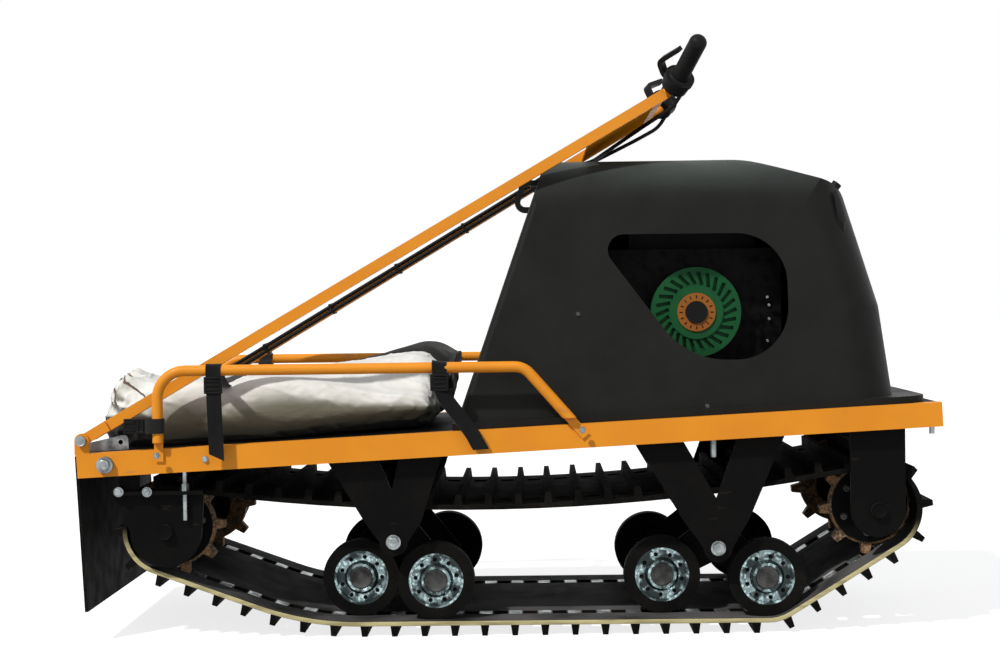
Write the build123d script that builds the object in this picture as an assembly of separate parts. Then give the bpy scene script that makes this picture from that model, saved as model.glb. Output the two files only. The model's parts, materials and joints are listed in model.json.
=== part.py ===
from build123d import *
import os
from math import asin, atan2, copysign, cos, degrees, hypot, pi, radians, sin, sqrt, tan

# Walk-behind snow tug: one wide rubber track under a ladder frame, engine hood in front,
# cargo deck behind and a two-tube tiller that folds forward over the hood.
# X runs forward, Y to the left, Z up; the origin is on the ground under the middle.

# Shared clearances and small values
seat_gap = 0.3
slide_gap = 0.05
cut_overrun = 2.0
weld_bite = 1.0

# Ladder frame
frame_length = 1427.0
frame_offset = 7.05
frame_rise_angle = 2.79
frame_tail_z = 275.2
rail_height = 40.0
rail_width = 25.0
rail_wall = 2.5
rail_cap_thickness = 4.0
cross_height = 20.0
cross_depth = 30.0
deck_thickness = 2.0
tail_ear_width = 24.0
tail_ear_thickness = 6.0
cross_shares = (0.0, 0.22, 0.6, 1.0)
stud_diameter = 9.0
stud_drop = 11.5
nose_stud_inset = 12.3
middle_stud_share = 0.7392
middle_stud_drop = 28.5

# Track
track_width = 500.0
belt_thickness = 8.0
link_pitch = 50.5
track_side_gap = 15.0
lug_height = 17.5
lug_base = 14.0
lug_tip = 9.0
sprocket_teeth = 9
window_length = 24.0
window_width = 30.0
window_row_inset = 80.0
drive_inset = 99.1
drive_drop = 134.0
idler_inset = 140.1
idler_drop = 99.9
tail_rise_share = 1.5563
sag_radius = 3450.0

# Sprockets and their shafts
sprocket_width = 20.0
tooth_root = 19.0
tooth_tip = 12.0
tooth_reach = 12.0
sprocket_bore = 76.0
disc_diameter = 128.0
disc_thickness = 4.0
hub_diameter = 52.0
hub_length = 34.0
shaft_diameter = 25.0
shaft_overhang = 9.0

# Road wheels and bogies
wheel_diameter = 130.0
wheel_width = 30.0
rim_diameter = 92.0
rim_lip = 4.0
rim_web = 3.0
rim_recess = 7.0
wheel_hub_diameter = 48.0
wheel_hub_foot = 58.0
wheel_hub_cup = 30.0
wheel_hub_bore = 20.0
inner_wheel_inset = 59.0
outer_wheel_inset = 15.0
axle_recess = 5.0
axle_overhang = 4.0
rocker_gap = 11.0
rocker_thickness = 6.0
rocker_pivot_radius = 36.0
rocker_axle_radius = 26.0
pivot_shaft_diameter = 20.0
pivot_sleeve_diameter = 34.0
hanger_thickness = 5.0
hanger_foot_radius = 24.0

# Bogie table: pivot place along the frame, then pivot height over the axles and the reach of
# the rearward and the forward axle from the pivot, as shares of the wheel's diameter
bogie_shares = {
    "rear": (0.3653, 0.540, 0.475, 0.526),
    "front": (0.7441, 0.417, 0.682, 0.652),
}

# Hanger outlines: distance from the pivot as a share of the hanger's reach, and height over the
# pivot as a share of the rail's height over it, where one is the top edge inside the rail
hanger_reach = 145.0
hanger_shares = {
    "rear": (
        (-0.825, 1.0), (-0.324, 0.229), (0.312, 0.220), (0.617, 1.0),
        (0.103, 1.0), (-0.014, 0.609), (-0.214, 1.0),
    ),
    "front": (
        (-0.997, 1.0), (-0.401, 0.262), (0.366, 0.271), (0.837, 1.0),
        (0.286, 1.0), (-0.014, 0.458), (-0.463, 1.0),
    ),
}

# Axle plates
front_plate_width = 91.0
axle_plate_thickness = 6.0
rear_plate_front_reach = 65.5
rear_plate_back_reach = 89.5
rear_plate_rise = 68.9
rear_plate_flange = 14.0
rear_plate_foot_radius = 60.0
rear_arm_reach = 77.5
rear_arm_width = 34.0
tension_rod_reach = 34.5
tension_rod_diameter = 8.0
tension_rod_drop = 49.0
tension_nut_width = 14.0
tension_nut_height = 12.0

# Mudflap and towing bar at the tail
flap_side_inset = 10.0
flap_thickness = 5.0
flap_rise = 36.0
flap_drop = 224.0
tow_bar_inset = 46.6
tow_bar_diameter = 16.0
tow_head_diameter = 28.0
tow_head_thickness = 7.0

# Side rails of the cargo deck
hoop_diameter = 18.0
hoop_rear_inset = 136.6
hoop_top_z = 452.0
hoop_top_overlap = 118.0
hoop_front_overlap = 219.0
hoop_front_bend = 34.0
hoop_rear_bend = 46.0
hoop_foot_thickness = 4.0
hoop_foot_reach = 12.0

# Engine hood
hood_length = 744.0
hood_nose_inset = 57.7
hood_height = 454.4
hood_side_inset = 28.0
hood_top_inset = 98.0
hood_edge_radius = 98.0
hood_nose_radius = 80.0
hood_rear_radius = 12.0
hood_side_shares = ((0.0, 0.0), (0.2137, 1.0), (0.667, 1.0), (0.895, 0.888), (0.974, 0.436))
hood_bend_radii = (26.0, 200.0, 62.0, 300.0)
hood_wall = 4.0
hood_base_height = 12.0
hood_base_nose_reach = 42.0
hood_base_inset = 14.0
hood_base_radius = 40.0
hood_base_rear_radius = 10.0
window_shares = ((0.3161, 0.7139), (0.7554, 0.7117), (0.7554, 0.2452), (0.5277, 0.2452))
window_radius_shares = (0.036, 0.114, 0.118, 0.175)
hood_handle_rise = 401.4
hood_handle_height = 54.0
hood_handle_reach = 29.0
hood_handle_bar = 6.0
hood_handle_width = 20.0
hood_handle_bend = 14.0
catch_x_share = 0.882
catch_inset = 7.0
catch_diameter = 18.0
catch_height = 14.0

# Engine and what shows through the hood window
engine_share = 0.5565
engine_length = 300.0
engine_width = 250.0
engine_height = 300.0
crank_rise = 170.9
starter_diameter = 154.0
starter_depth = 34.0
starter_rim = 7.0
starter_collar_diameter = 92.0
starter_collar_depth = 3.0
starter_slot_count = 26
starter_slot_width = 6.5
starter_slot_depth = 9.0
starter_slot_lean = 24.0
starter_hub_diameter = 66.0
starter_hub_depth = 6.0
starter_cap_diameter = 38.0
starter_cap_depth = 9.0
tank_length = 220.0
tank_width = 170.0
tank_height = 80.0

# Cargo bag and its straps
bag_tail_inset = 15.6
bag_nose_gap = 8.0
bag_side_gap = 29.0
bag_tail_side_gap = 69.0
bag_waist_share = 0.25
bag_height = 108.0
bag_corner_radius = 34.0
strap_width = 25.0
strap_thickness = 2.0
strap_rear_inset = 231.0
strap_front_gap = 8.0
strap_tail_drop = 150.0
strap_inner_drop = 22.0
strap_bend = 10.0
post_strap_rise = 45.6
post_strap_reach = 37.0
lock_length = 30.0
lock_height = 28.0
lock_thickness = 7.0
buckle_length = 40.0
buckle_height = 25.0
buckle_thickness = 12.0

# Galvanised stays on the tail of the deck
stay_side_gap = 25.0
stay_thickness = 5.0
stay_inset = 10.6
stay_length = 67.0
stay_back_height = 15.0
stay_front_height = 26.0
stay_bend = 8.0
stay_hole_diameter = 8.0

# Tiller
tiller_nest = 10.58
tiller_overhang = 235.92
tiller_pivot_inset = 7.6
tiller_pivot_rise = 62.1
tiller_tube = 18.0
tiller_wall = 2.0
tiller_top_y = 175.0
tiller_start = 16.0
tiller_tab_thickness = 5.0
tiller_pin_diameter = 10.0
tiller_pin_head = 17.0
tiller_pin_head_thickness = 6.0
handle_diameter = 18.0
handle_neck = 18.0
handle_bend = 14.0
handle_aim_shares = (0.546, 0.764, 0.341)
grip_start = 24.0
grip_diameter = 30.0
grip_length = 104.0
grip_flange_diameter = 52.0
grip_flange_thickness = 8.0
perch_width = 14.0
perch_diameter = 28.0
lever_thickness = 5.0
lever_blade = 10.0
lever_root_rise = 26.0
lever_shoulder_rise = 43.0
lever_tip_rise = 23.0
lever_shoulder_reach = 17.0
lever_reach = 63.0
lever_bend = 12.0
lever_turn = 258.0
console_length = 130.0
console_thickness = 3.0
cable_diameter = 7.0
cable_spread = 9.0
cable_start = 64.0
cable_leave = 203.0
cable_cross_start = 148.0
cable_cross_end = 48.0
cable_drop = 20.0
cable_sag = 27.0
cable_far_y = 140.0
cable_near_y = 160.0
cable_bend_share = 0.45

# Values that follow from the sizes above
frame_width = track_width + 2 * (track_side_gap + rail_width)
frame_reach_x = frame_length * cos(radians(frame_rise_angle))
frame_tail_x = frame_offset - frame_reach_x / 2
frame_nose_x = frame_tail_x + frame_reach_x
rail_outer_y = frame_width / 2
rail_inner_y = rail_outer_y - rail_width
window_row_y = track_width / 2 - window_row_inset
inner_wheel_y = track_width / 2 - inner_wheel_inset
outer_wheel_y = track_width / 2 - outer_wheel_inset
rocker_y = inner_wheel_y - wheel_width - rocker_gap
hoop_y = rail_outer_y + hoop_diameter / 2
rise_slope = tan(radians(frame_rise_angle))
pitch_radius = link_pitch * sprocket_teeth / (2 * pi)
belt_half = belt_thickness / 2
ring_radius = pitch_radius - belt_half - seat_gap
pitch_floor_z = lug_height + belt_half
wheel_z = pitch_floor_z + belt_half + seat_gap + wheel_diameter / 2
wheel_wrap_radius = wheel_diameter / 2 + seat_gap + belt_half
chassis = Pos(frame_tail_x, 0, frame_tail_z) * Rot(0, -frame_rise_angle, 0)


def rail_bottom(x):
    """Height of the underside of the frame rails at a place along the machine."""
    return frame_tail_z + (x - frame_tail_x) * rise_slope


def rail_top(x):
    """Height of the upper side of the frame rails."""
    return rail_bottom(x) + rail_height / cos(radians(frame_rise_angle))


hood_nose_x = frame_nose_x - hood_nose_inset
hood_tail_x = hood_nose_x - hood_length
hood_base_z = rail_top(hood_tail_x)
hood_top_z = hood_base_z + hood_height
hood_half_width = rail_outer_y - hood_side_inset
hood_top_half_width = rail_outer_y - hood_top_inset
hood_lean = (hood_half_width - hood_top_half_width) / hood_height
engine_x = hood_tail_x + engine_share * hood_length
starter_z = rail_top(engine_x) + crank_rise
drive_x = frame_nose_x - drive_inset
drive_z = rail_bottom(drive_x) - drive_drop
idler_x = frame_tail_x + idler_inset
idler_z = rail_bottom(idler_x) - idler_drop
tow_bar_x = frame_tail_x + tow_bar_inset
tiller_pivot_x = frame_tail_x + tiller_pivot_inset
tiller_pivot_z = rail_bottom(tiller_pivot_x) + tiller_pivot_rise
hood_edge_x = hood_tail_x + hood_side_shares[1][0] * hood_length
tiller_rise = hood_top_z - tiller_nest - tiller_pivot_z
tiller_angle = degrees(atan2(tiller_rise, hood_edge_x - tiller_pivot_x))
tiller_length = hypot(tiller_rise, hood_edge_x - tiller_pivot_x) + tiller_overhang
hoop_rear_x = frame_tail_x + hoop_rear_inset
hoop_top_front_x = hood_tail_x + hoop_top_overlap
hoop_front_x = hood_tail_x + hoop_front_overlap
bag_tail_x = frame_tail_x + bag_tail_inset
bag_nose_x = hood_tail_x - bag_nose_gap
bag_half_width = rail_inner_y - bag_side_gap
bag_tail_half_width = rail_inner_y - bag_tail_side_gap
tab_outer_y = rail_outer_y - tail_ear_thickness - seat_gap
tiller_base_y = tab_outer_y - tiller_tab_thickness - tiller_tube / 2 + weld_bite


def bogie_place(name):
    """A bogie's pivot, as x and z, and the x of its rearward and forward axles."""
    along, rise, rearward, forward = bogie_shares[name]
    pivot_x = frame_tail_x + along * frame_reach_x
    pivot_z = wheel_z + rise * wheel_diameter
    return pivot_x, pivot_z, pivot_x - rearward * wheel_diameter, pivot_x + forward * wheel_diameter


rear_wheel_x = bogie_place("rear")[2]
tail_rise_radius = tail_rise_share * (rear_wheel_x - idler_x)
front_wheel_x = bogie_place("front")[3]


def side_plate(sketch, y_from, y_to):
    """Extrude a side-view sketch, drawn as x and z, between two widths."""
    flat = Plane.XZ.offset(-y_from) * sketch
    return extrude(flat, amount=y_from - y_to)


def mirrored(shape):
    """A shape with its twin on the other side of the machine."""
    return Compound(children=[s for s in shape.solids()] + [s for s in mirror(shape, Plane.XZ).solids()])


def outline(points):
    """A closed face from x and z places."""
    return make_face(Polyline(*[(x, z) for x, z in points], close=True))


def cross_tube(diameter, half_length, x, z):
    """A round bar across the machine."""
    return Pos(x, 0, z) * Rot(90, 0, 0) * Cylinder(diameter / 2, 2 * half_length)


def ring_across(outer, inner, y_from, y_to, x, z):
    """A bored round piece across the machine between two widths."""
    middle = (y_from + y_to) / 2
    length = abs(y_to - y_from)
    body = Cylinder(outer / 2, length) - Cylinder(inner / 2, length + cut_overrun)
    return Pos(x, middle, z) * Rot(90, 0, 0) * body


# Track loop, as circles joined by their tangents
def loop_circles():
    """Left-turning circles of the belt's pitch line, from the idler to the drive sprocket."""
    return (
        ((idler_x, idler_z), pitch_radius),
        ((rear_wheel_x, pitch_floor_z + tail_rise_radius), tail_rise_radius),
        ((front_wheel_x, pitch_floor_z + wheel_wrap_radius), wheel_wrap_radius),
        ((drive_x, drive_z), pitch_radius),
    )


def heading(first, second):
    """Heading of the line that touches two left-turning circles."""
    (ax, az), ar = first
    (bx, bz), br = second
    span = hypot(bx - ax, bz - az)
    return atan2(bz - az, bx - ax) + asin((ar - br) / span)


def sag_centre():
    """Centre of the wide arc of the slack upper run, above both sprockets."""
    reach_x = (drive_x - idler_x) / 2
    reach_z = (drive_z - idler_z) / 2
    half = hypot(reach_x, reach_z)
    rise = sqrt((sag_radius + pitch_radius) ** 2 - half ** 2)
    return (
        idler_x + reach_x - rise * reach_z / half,
        idler_z + reach_z + rise * reach_x / half,
    )


def on_circle(centre, radius, angle):
    """A place on a circle."""
    return (centre[0] + radius * cos(angle), centre[1] + radius * sin(angle))


def belt_wire(offset):
    """The closed belt line at a distance outside its pitch line."""
    circles = loop_circles()
    turns = [heading(a, b) for a, b in zip(circles, circles[1:])]
    top = sag_centre()
    drive_leave = atan2(top[1] - drive_z, top[0] - drive_x)
    idler_meet = atan2(top[1] - idler_z, top[0] - idler_x)
    spans = [
        (circles[0][0], circles[0][1] + offset, idler_meet, turns[0] - pi / 2 + 2 * pi),
        (circles[1][0], circles[1][1] + offset, turns[0] - pi / 2, turns[1] - pi / 2),
        (circles[2][0], circles[2][1] + offset, turns[1] - pi / 2, turns[2] - pi / 2),
        (circles[3][0], circles[3][1] + offset, turns[2] - pi / 2, drive_leave),
        (top, sag_radius - offset, drive_leave - pi, idler_meet - pi),
    ]
    edges = []
    last = None
    for centre, radius, start, end in spans:
        first = on_circle(centre, radius, start)
        middle = on_circle(centre, radius, (start + end) / 2)
        final = on_circle(centre, radius, end)
        if last is not None and hypot(last[0] - first[0], last[1] - first[1]) > seat_gap:
            edges.append(Line(last, first))
        edges.append(ThreePointArc(first, middle, final))
        last = final
    return Wire(edges)


def belt_frames(count, shift):
    """Evenly spaced places on the pitch line with the heading there."""
    line = belt_wire(0)
    frames = []
    for number in range(count):
        share = ((number + shift) / count) % 1.0
        place = line.position_at(share)
        along = line.tangent_at(share)
        frames.append((place.X, place.Y, atan2(along.Y, along.X)))
    return frames


link_count = round(belt_wire(0).length / link_pitch)


def tooth_angle(centre):
    """Turn of a sprocket that puts a tooth in the belt window nearest to it."""
    best = min(belt_frames(link_count, 0), key=lambda place: hypot(
        place[0] - centre[0] - copysign(pitch_radius, centre[0]), place[1] - centre[1]))
    return atan2(best[1] - centre[1], best[0] - centre[0])


def make_track():
    """The rubber loop with its lugs, with a window for each tooth of both sprocket rows."""
    face = make_face(belt_wire(belt_half)) - make_face(belt_wire(-belt_half))
    lug = outline((
        (-lug_base / 2, weld_bite - belt_half), (-lug_base / 2, -belt_half),
        (-lug_tip / 2, -belt_half - lug_height), (lug_tip / 2, -belt_half - lug_height),
        (lug_base / 2, -belt_half), (lug_base / 2, weld_bite - belt_half),
    ))
    lugs = [
        Pos(x, z) * Rot(0, 0, degrees(turn)) * lug
        for x, z, turn in belt_frames(link_count, 1 / 2)
    ]
    profile = face + lugs
    track = side_plate(profile, -track_width / 2, track_width / 2)
    holes = []
    for x, z, turn in belt_frames(link_count, 0):
        for side in (-1, 1):
            hole = Box(window_length, window_width, belt_thickness * 2)
            holes.append(Pos(x, side * window_row_y, z) * Rot(0, -degrees(turn), 0) * hole)
    return track - holes


def make_sprocket_rings(centre):
    """Two toothed rings of one shaft, with the teeth standing in the belt windows."""
    start = tooth_angle(centre)
    tip_radius = pitch_radius + tooth_reach
    tooth = make_face(Polyline(
        (ring_radius - cut_overrun, -tooth_root / 2), (tip_radius, -tooth_tip / 2),
        (tip_radius, tooth_tip / 2), (ring_radius - cut_overrun, tooth_root / 2), close=True,
    ))
    teeth = [
        Rot(0, 0, degrees(start) + 360 * number / sprocket_teeth) * tooth
        for number in range(sprocket_teeth)
    ]
    profile = Circle(ring_radius) + teeth - Circle(sprocket_bore / 2)
    profile = Pos(*centre) * profile
    near = side_plate(profile, window_row_y - sprocket_width / 2, window_row_y + sprocket_width / 2)
    return mirrored(near)


def make_sprocket_discs(centre):
    """The plain discs that carry the rings, with their hubs on the shaft."""
    face_y = window_row_y + sprocket_width / 2
    disc = ring_across(disc_diameter, shaft_diameter + 2 * slide_gap,
                       face_y, face_y + disc_thickness, *centre)
    hub = ring_across(hub_diameter, shaft_diameter + 2 * slide_gap,
                      face_y - hub_length, face_y + weld_bite, *centre)
    return mirrored(disc + hub)


def make_front_plates():
    """Round-footed plates that carry the drive shaft under the front of the frame."""
    half = front_plate_width / 2
    top = [drive_x - half, drive_x + half]
    shape = outline((
        (top[0], rail_top(top[0]) - rail_wall), (top[0], drive_z), (top[1], drive_z),
        (top[1], rail_top(top[1]) - rail_wall),
    )) + Pos(drive_x, drive_z) * Circle(half)
    shape = shape - Pos(drive_x, drive_z) * Circle(shaft_diameter / 2 + slide_gap)
    return mirrored(side_plate(shape, rail_inner_y - axle_plate_thickness, rail_inner_y))


def make_rear_plates():
    """Idler carriers: a flanged plate with a round foot and a bolted arm up to the rail."""
    back_x, front_x = idler_x - rear_plate_back_reach, idler_x + rear_plate_front_reach
    top_z = idler_z + rear_plate_rise
    foot = Pos(idler_x, idler_z) * Circle(rear_plate_foot_radius)
    body = outline((
        (back_x, top_z), (idler_x - rear_plate_foot_radius, idler_z),
        (idler_x + rear_plate_foot_radius, idler_z), (front_x, top_z),
    ))
    arm_back = idler_x - rear_arm_reach
    arm_front = arm_back + rear_arm_width
    arm = outline((
        (arm_back, top_z - weld_bite), (arm_front, top_z - weld_bite),
        (arm_front, rail_top(arm_front) - rail_wall), (arm_back, rail_top(arm_back) - rail_wall),
    ))
    shape = foot + body + arm - Pos(idler_x, idler_z) * Circle(shaft_diameter / 2 + slide_gap)
    plate = side_plate(shape, rail_inner_y - axle_plate_thickness, rail_inner_y)
    flange = Pos((back_x + front_x) / 2, rail_inner_y + rear_plate_flange / 2,
                 top_z - axle_plate_thickness / 2)
    flange = flange * Box(front_x - back_x, rear_plate_flange, axle_plate_thickness)
    hole = Pos(idler_x + tension_rod_reach, rail_inner_y + rear_plate_flange / 2, top_z) * Cylinder(
        tension_rod_diameter / 2 + slide_gap, 2 * (axle_plate_thickness + cut_overrun))
    return mirrored(plate + flange - hole)


def make_tension_rods():
    """Threaded rods from the rails to the idler carriers, each with a nut over the flange."""
    rod_x = idler_x + tension_rod_reach
    rod_y = rail_inner_y + rear_plate_flange / 2
    top_z = idler_z + rear_plate_rise
    low = top_z - tension_rod_drop
    length = rail_bottom(rod_x - tension_rod_diameter / 2) - low
    rod = Pos(rod_x, rod_y, low + length / 2) * Cylinder(tension_rod_diameter / 2, length)
    nut = extrude(RegularPolygon(tension_nut_width / 2, 6), amount=tension_nut_height)
    return mirrored(rod + Pos(rod_x, rod_y, top_z) * nut)


def make_hangers(name):
    """V-shaped plates bolted inside the rails, with the bogie pivot in their round foot."""
    pivot_x, pivot_z = bogie_place(name)[:2]
    points = []
    for reach, rise in hanger_shares[name]:
        x = pivot_x + reach * hanger_reach
        top = rail_bottom(x) + rail_height / 2
        points.append((x, top if rise == 1 else pivot_z + rise * (rail_bottom(pivot_x) - pivot_z)))
    shape = outline(points) + outline((
        points[1], (pivot_x - hanger_foot_radius, pivot_z), (pivot_x + hanger_foot_radius, pivot_z),
        points[2],
    )) + Pos(pivot_x, pivot_z) * Circle(hanger_foot_radius)
    shape = shape - Pos(pivot_x, pivot_z) * Circle(pivot_shaft_diameter / 2 + slide_gap)
    return mirrored(side_plate(shape, rail_inner_y - hanger_thickness, rail_inner_y))


def make_bogie_frame(name):
    """Two rocker plates on a sleeve that turns on the bogie pivot."""
    pivot_x, pivot_z, rear_x, front_x = bogie_place(name)
    arms = []
    for axle_x in (rear_x, front_x):
        arms.append(make_hull(
            (Pos(pivot_x, pivot_z) * Circle(rocker_pivot_radius)).edges()
            + (Pos(axle_x, wheel_z) * Circle(rocker_axle_radius)).edges()
        ))
    shape = arms[0] + arms[1]
    for axle_x in (rear_x, front_x):
        shape = shape - Pos(axle_x, wheel_z) * Circle(wheel_hub_bore / 2 + slide_gap)
    shape = shape - Pos(pivot_x, pivot_z) * Circle(pivot_sleeve_diameter / 2 - weld_bite)
    near = side_plate(shape, rocker_y - rocker_thickness, rocker_y)
    plates = near + mirror(near, Plane.XZ)
    sleeve = ring_across(pivot_sleeve_diameter, pivot_shaft_diameter + 2 * slide_gap,
                         -rocker_y, rocker_y, pivot_x, pivot_z)
    return plates + sleeve


def wheel_faces():
    """Axle place and outer face of each wheel on one side."""
    rows = []
    for name in bogie_shares:
        rear_x, front_x = bogie_place(name)[2:]
        rows.append((rear_x, inner_wheel_y))
        rows.append((front_x, outer_wheel_y))
    return rows


def make_wheel_tyres():
    """Rubber rings of all road wheels."""
    rings = [
        ring_across(wheel_diameter, rim_diameter, face - wheel_width, face, x, wheel_z)
        for x, face in wheel_faces()
    ]
    return mirrored(Compound(children=rings))


def make_wheel_rims():
    """Pressed rims: a rolled lip, a sunk web and a raised hub round the axle."""
    outer, lip = rim_diameter / 2, rim_diameter / 2 - rim_lip
    foot, hub, cup = wheel_hub_foot / 2, wheel_hub_diameter / 2, wheel_hub_cup / 2
    bore = wheel_hub_bore / 2 + slide_gap
    face = outline((
        (bore, -wheel_width), (outer, -wheel_width), (outer, 0), (lip, 0), (lip, -rim_recess),
        (foot, -rim_recess), (hub, 0), (cup, 0), (cup, -axle_recess), (bore, -axle_recess),
    )) - outline((
        (hub, -wheel_width), (lip, -wheel_width), (lip, -rim_recess - rim_web),
        (hub, -rim_recess - rim_web),
    ))
    rim = revolve(Plane.XY * face, Axis.Y)
    rims = [Pos(x, y, wheel_z) * rim for x, y in wheel_faces()]
    return mirrored(Compound(children=rims))


def make_wheel_axles():
    """Round bars through the wheels and rocker plates."""
    bars = []
    for x, face in wheel_faces():
        bars.append(cross_tube(wheel_hub_bore, face - axle_recess + seat_gap, x, wheel_z))
    return Compound(children=bars)


def make_pivot_shafts():
    """Bogie pivot shafts from hanger to hanger."""
    reach = rail_inner_y + axle_overhang
    return Compound(children=[
        cross_tube(pivot_shaft_diameter, reach, *bogie_place(name)[:2]) for name in bogie_shares
    ])


def on_chassis(shape, along, y, up):
    """Place a shape by its distance along the rails and its height over their underside."""
    return chassis * Pos(along, y, up) * shape


def make_rail():
    """The left frame rail: a square tube with an ear for the tiller at its tail."""
    tube = Box(frame_length, rail_width, rail_height)
    tube = tube - Box(frame_length + cut_overrun, rail_width - 2 * rail_wall, rail_height - 2 * rail_wall)
    rail = on_chassis(tube, frame_length / 2, rail_outer_y - rail_width / 2, rail_height / 2)
    pivot_z = tiller_pivot_z
    half = tail_ear_width / 2
    ear = outline((
        (tiller_pivot_x - half, rail_top(tiller_pivot_x) - rail_wall), (tiller_pivot_x - half, pivot_z),
        (tiller_pivot_x + half, pivot_z), (tiller_pivot_x + half, rail_top(tiller_pivot_x) - rail_wall),
    )) + Pos(tiller_pivot_x, pivot_z) * Circle(half)
    ear = ear - Pos(tiller_pivot_x, pivot_z) * Circle(tiller_pin_diameter / 2 + slide_gap)
    rail = rail + side_plate(ear, rail_outer_y - tail_ear_thickness, rail_outer_y)
    tow_z = rail_bottom(tow_bar_x) + rail_height / 2
    hole = cross_tube(tow_bar_diameter + 2 * slide_gap, frame_width, tow_bar_x, tow_z)
    return rail - hole


def make_cross_members():
    """Square bars across the frame under the deck."""
    bars = []
    inset = cross_depth / 2 + rail_wall
    up = rail_height - deck_thickness - cross_height / 2
    for share in cross_shares:
        along = inset + share * (frame_length - 2 * inset)
        bar = Box(cross_depth, 2 * rail_inner_y, cross_height)
        bars.append(on_chassis(bar, along, 0, up))
    return Compound(children=bars)


def make_deck(along_from, along_to):
    """A stretch of the sheet deck between the rails."""
    sheet = Box(along_to - along_from, 2 * rail_inner_y, deck_thickness)
    return on_chassis(sheet, (along_from + along_to) / 2, 0, rail_height - deck_thickness / 2)


def make_end_caps():
    """Plugs in the open ends of the rails."""
    cap = Box(rail_cap_thickness, rail_width, rail_height)
    along = frame_length + rail_cap_thickness / 2
    return mirrored(on_chassis(cap, along, rail_outer_y - rail_width / 2, rail_height / 2))


def make_flap():
    """The wide mudflap behind the track, bolted over the tail of the frame."""
    sheet = Box(flap_thickness, frame_width - 2 * flap_side_inset, flap_rise + flap_drop)
    return on_chassis(sheet, -flap_thickness / 2, 0, (flap_rise - flap_drop) / 2)


def make_tow_bar():
    """The bar across the tail that a sled's drawbar hooks on, with a round head outside each rail."""
    z = rail_bottom(tow_bar_x) + rail_height / 2
    bar = cross_tube(tow_bar_diameter, rail_outer_y + weld_bite, tow_bar_x, z)
    heads = ring_across(tow_head_diameter, tow_bar_diameter - weld_bite, rail_outer_y,
                        rail_outer_y + tow_head_thickness, tow_bar_x, z)
    return bar + heads + mirror(heads, Plane.XZ)


def make_hoop():
    """The left side rail: a bent tube bolted flat on the outside of the frame rail."""
    foot_z = rail_bottom(hoop_rear_x) + rail_height / 2
    nose_z = rail_bottom(hoop_front_x) + rail_height / 2
    path = FilletPolyline(
        (hoop_rear_x, hoop_y, foot_z), (hoop_rear_x, hoop_y, hoop_top_z),
        (hoop_top_front_x, hoop_y, hoop_top_z), (hoop_front_x, hoop_y, nose_z),
        radius=[hoop_rear_bend, hoop_front_bend],
    )
    section = Plane(origin=path @ 0, z_dir=path % 0) * Circle(hoop_diameter / 2)
    tube = sweep(section, path=path)
    flat = side_plate(outline((
        (hoop_rear_x - frame_width, foot_z - frame_width), (hoop_front_x + frame_width, nose_z - frame_width),
        (hoop_front_x + frame_width, rail_top(hoop_front_x + frame_width) + hoop_foot_reach),
        (hoop_rear_x - frame_width, rail_top(hoop_rear_x - frame_width) + hoop_foot_reach),
    )), rail_outer_y + hoop_foot_thickness, rail_outer_y + frame_width)
    return tube - flat


def drawn_in(points, wall):
    """Corners of a clockwise closed outline with every edge moved inwards by a wall."""
    moved = []
    for before, corner, after in zip(points[-1:] + points[:-1], points, points[1:] + points[:1]):
        first = atan2(corner[1] - before[1], corner[0] - before[0])
        second = atan2(after[1] - corner[1], after[0] - corner[0])
        half = (second - first) / 2
        reach = wall / cos(half)
        turn = (first + second) / 2 - pi / 2
        if abs(half) > pi / 2:
            turn, reach = turn + pi, -reach
        moved.append((corner[0] + reach * cos(turn), corner[1] + reach * sin(turn)))
    return moved


def hood_side_corners(wall):
    """Corners of the hood's side-view outline, drawn in by a wall."""
    places = [(hood_tail_x + a * hood_length, hood_base_z + b * hood_height)
              for a, b in hood_side_shares]
    return drawn_in(places + [(hood_nose_x, rail_top(hood_nose_x))], wall)


def hood_front_corners(wall):
    """Corners of the hood's front-view outline, drawn in by a wall."""
    low = hood_base_z - rail_height
    foot = hood_half_width + hood_lean * rail_height
    return drawn_in([(-foot, low), (-hood_top_half_width, hood_top_z),
                     (hood_top_half_width, hood_top_z), (foot, low)], wall)


def hood_corner(low, high, wall, radius, way):
    """What is cut off the hood's right side to round the corner along a sloping end face."""
    slope = (high[0] - low[0]) / (high[1] - low[1])
    foot_y, foot_z = hood_front_corners(wall)[0]
    corner = (low[0] + slope * (foot_z - low[1]), foot_y)
    middle = (corner[0] - way * radius, corner[1] + radius)
    plan = Pos(*corner) * Rectangle(2 * radius, 2 * radius) - Pos(*middle) * Circle(radius)
    aim = Vector(slope, hood_lean, 1)
    return Pos(0, 0, foot_z) * extrude(plan, amount=2 * hood_height * aim.length, dir=aim.normalized())


def hood_solid(wall):
    """A solid hood, drawn in by a wall."""
    places = hood_side_corners(wall)
    line = FilletPolyline(*places, radius=[radius - wall for radius in hood_bend_radii])
    side = make_face(line.edges() + [Line(places[-1], places[0])])
    corners = hood_front_corners(wall)
    line = FilletPolyline(*corners, radius=hood_edge_radius - wall)
    front = make_face(line.edges() + [Line(corners[-1], corners[0])])
    width = hood_half_width * 2
    solid = side_plate(side, -width, width) & extrude(
        Plane.YZ.offset(hood_tail_x - width) * front, amount=hood_length + 2 * width)
    for low, high, radius, way in (
        (places[-1], places[-2], hood_nose_radius, 1), (places[-2], places[-3], hood_nose_radius, 1),
        (places[0], places[1], hood_rear_radius, -1),
    ):
        corner = hood_corner(low, high, wall, radius - wall, way)
        solid = solid - corner - mirror(corner, Plane.XZ)
    return solid


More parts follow.
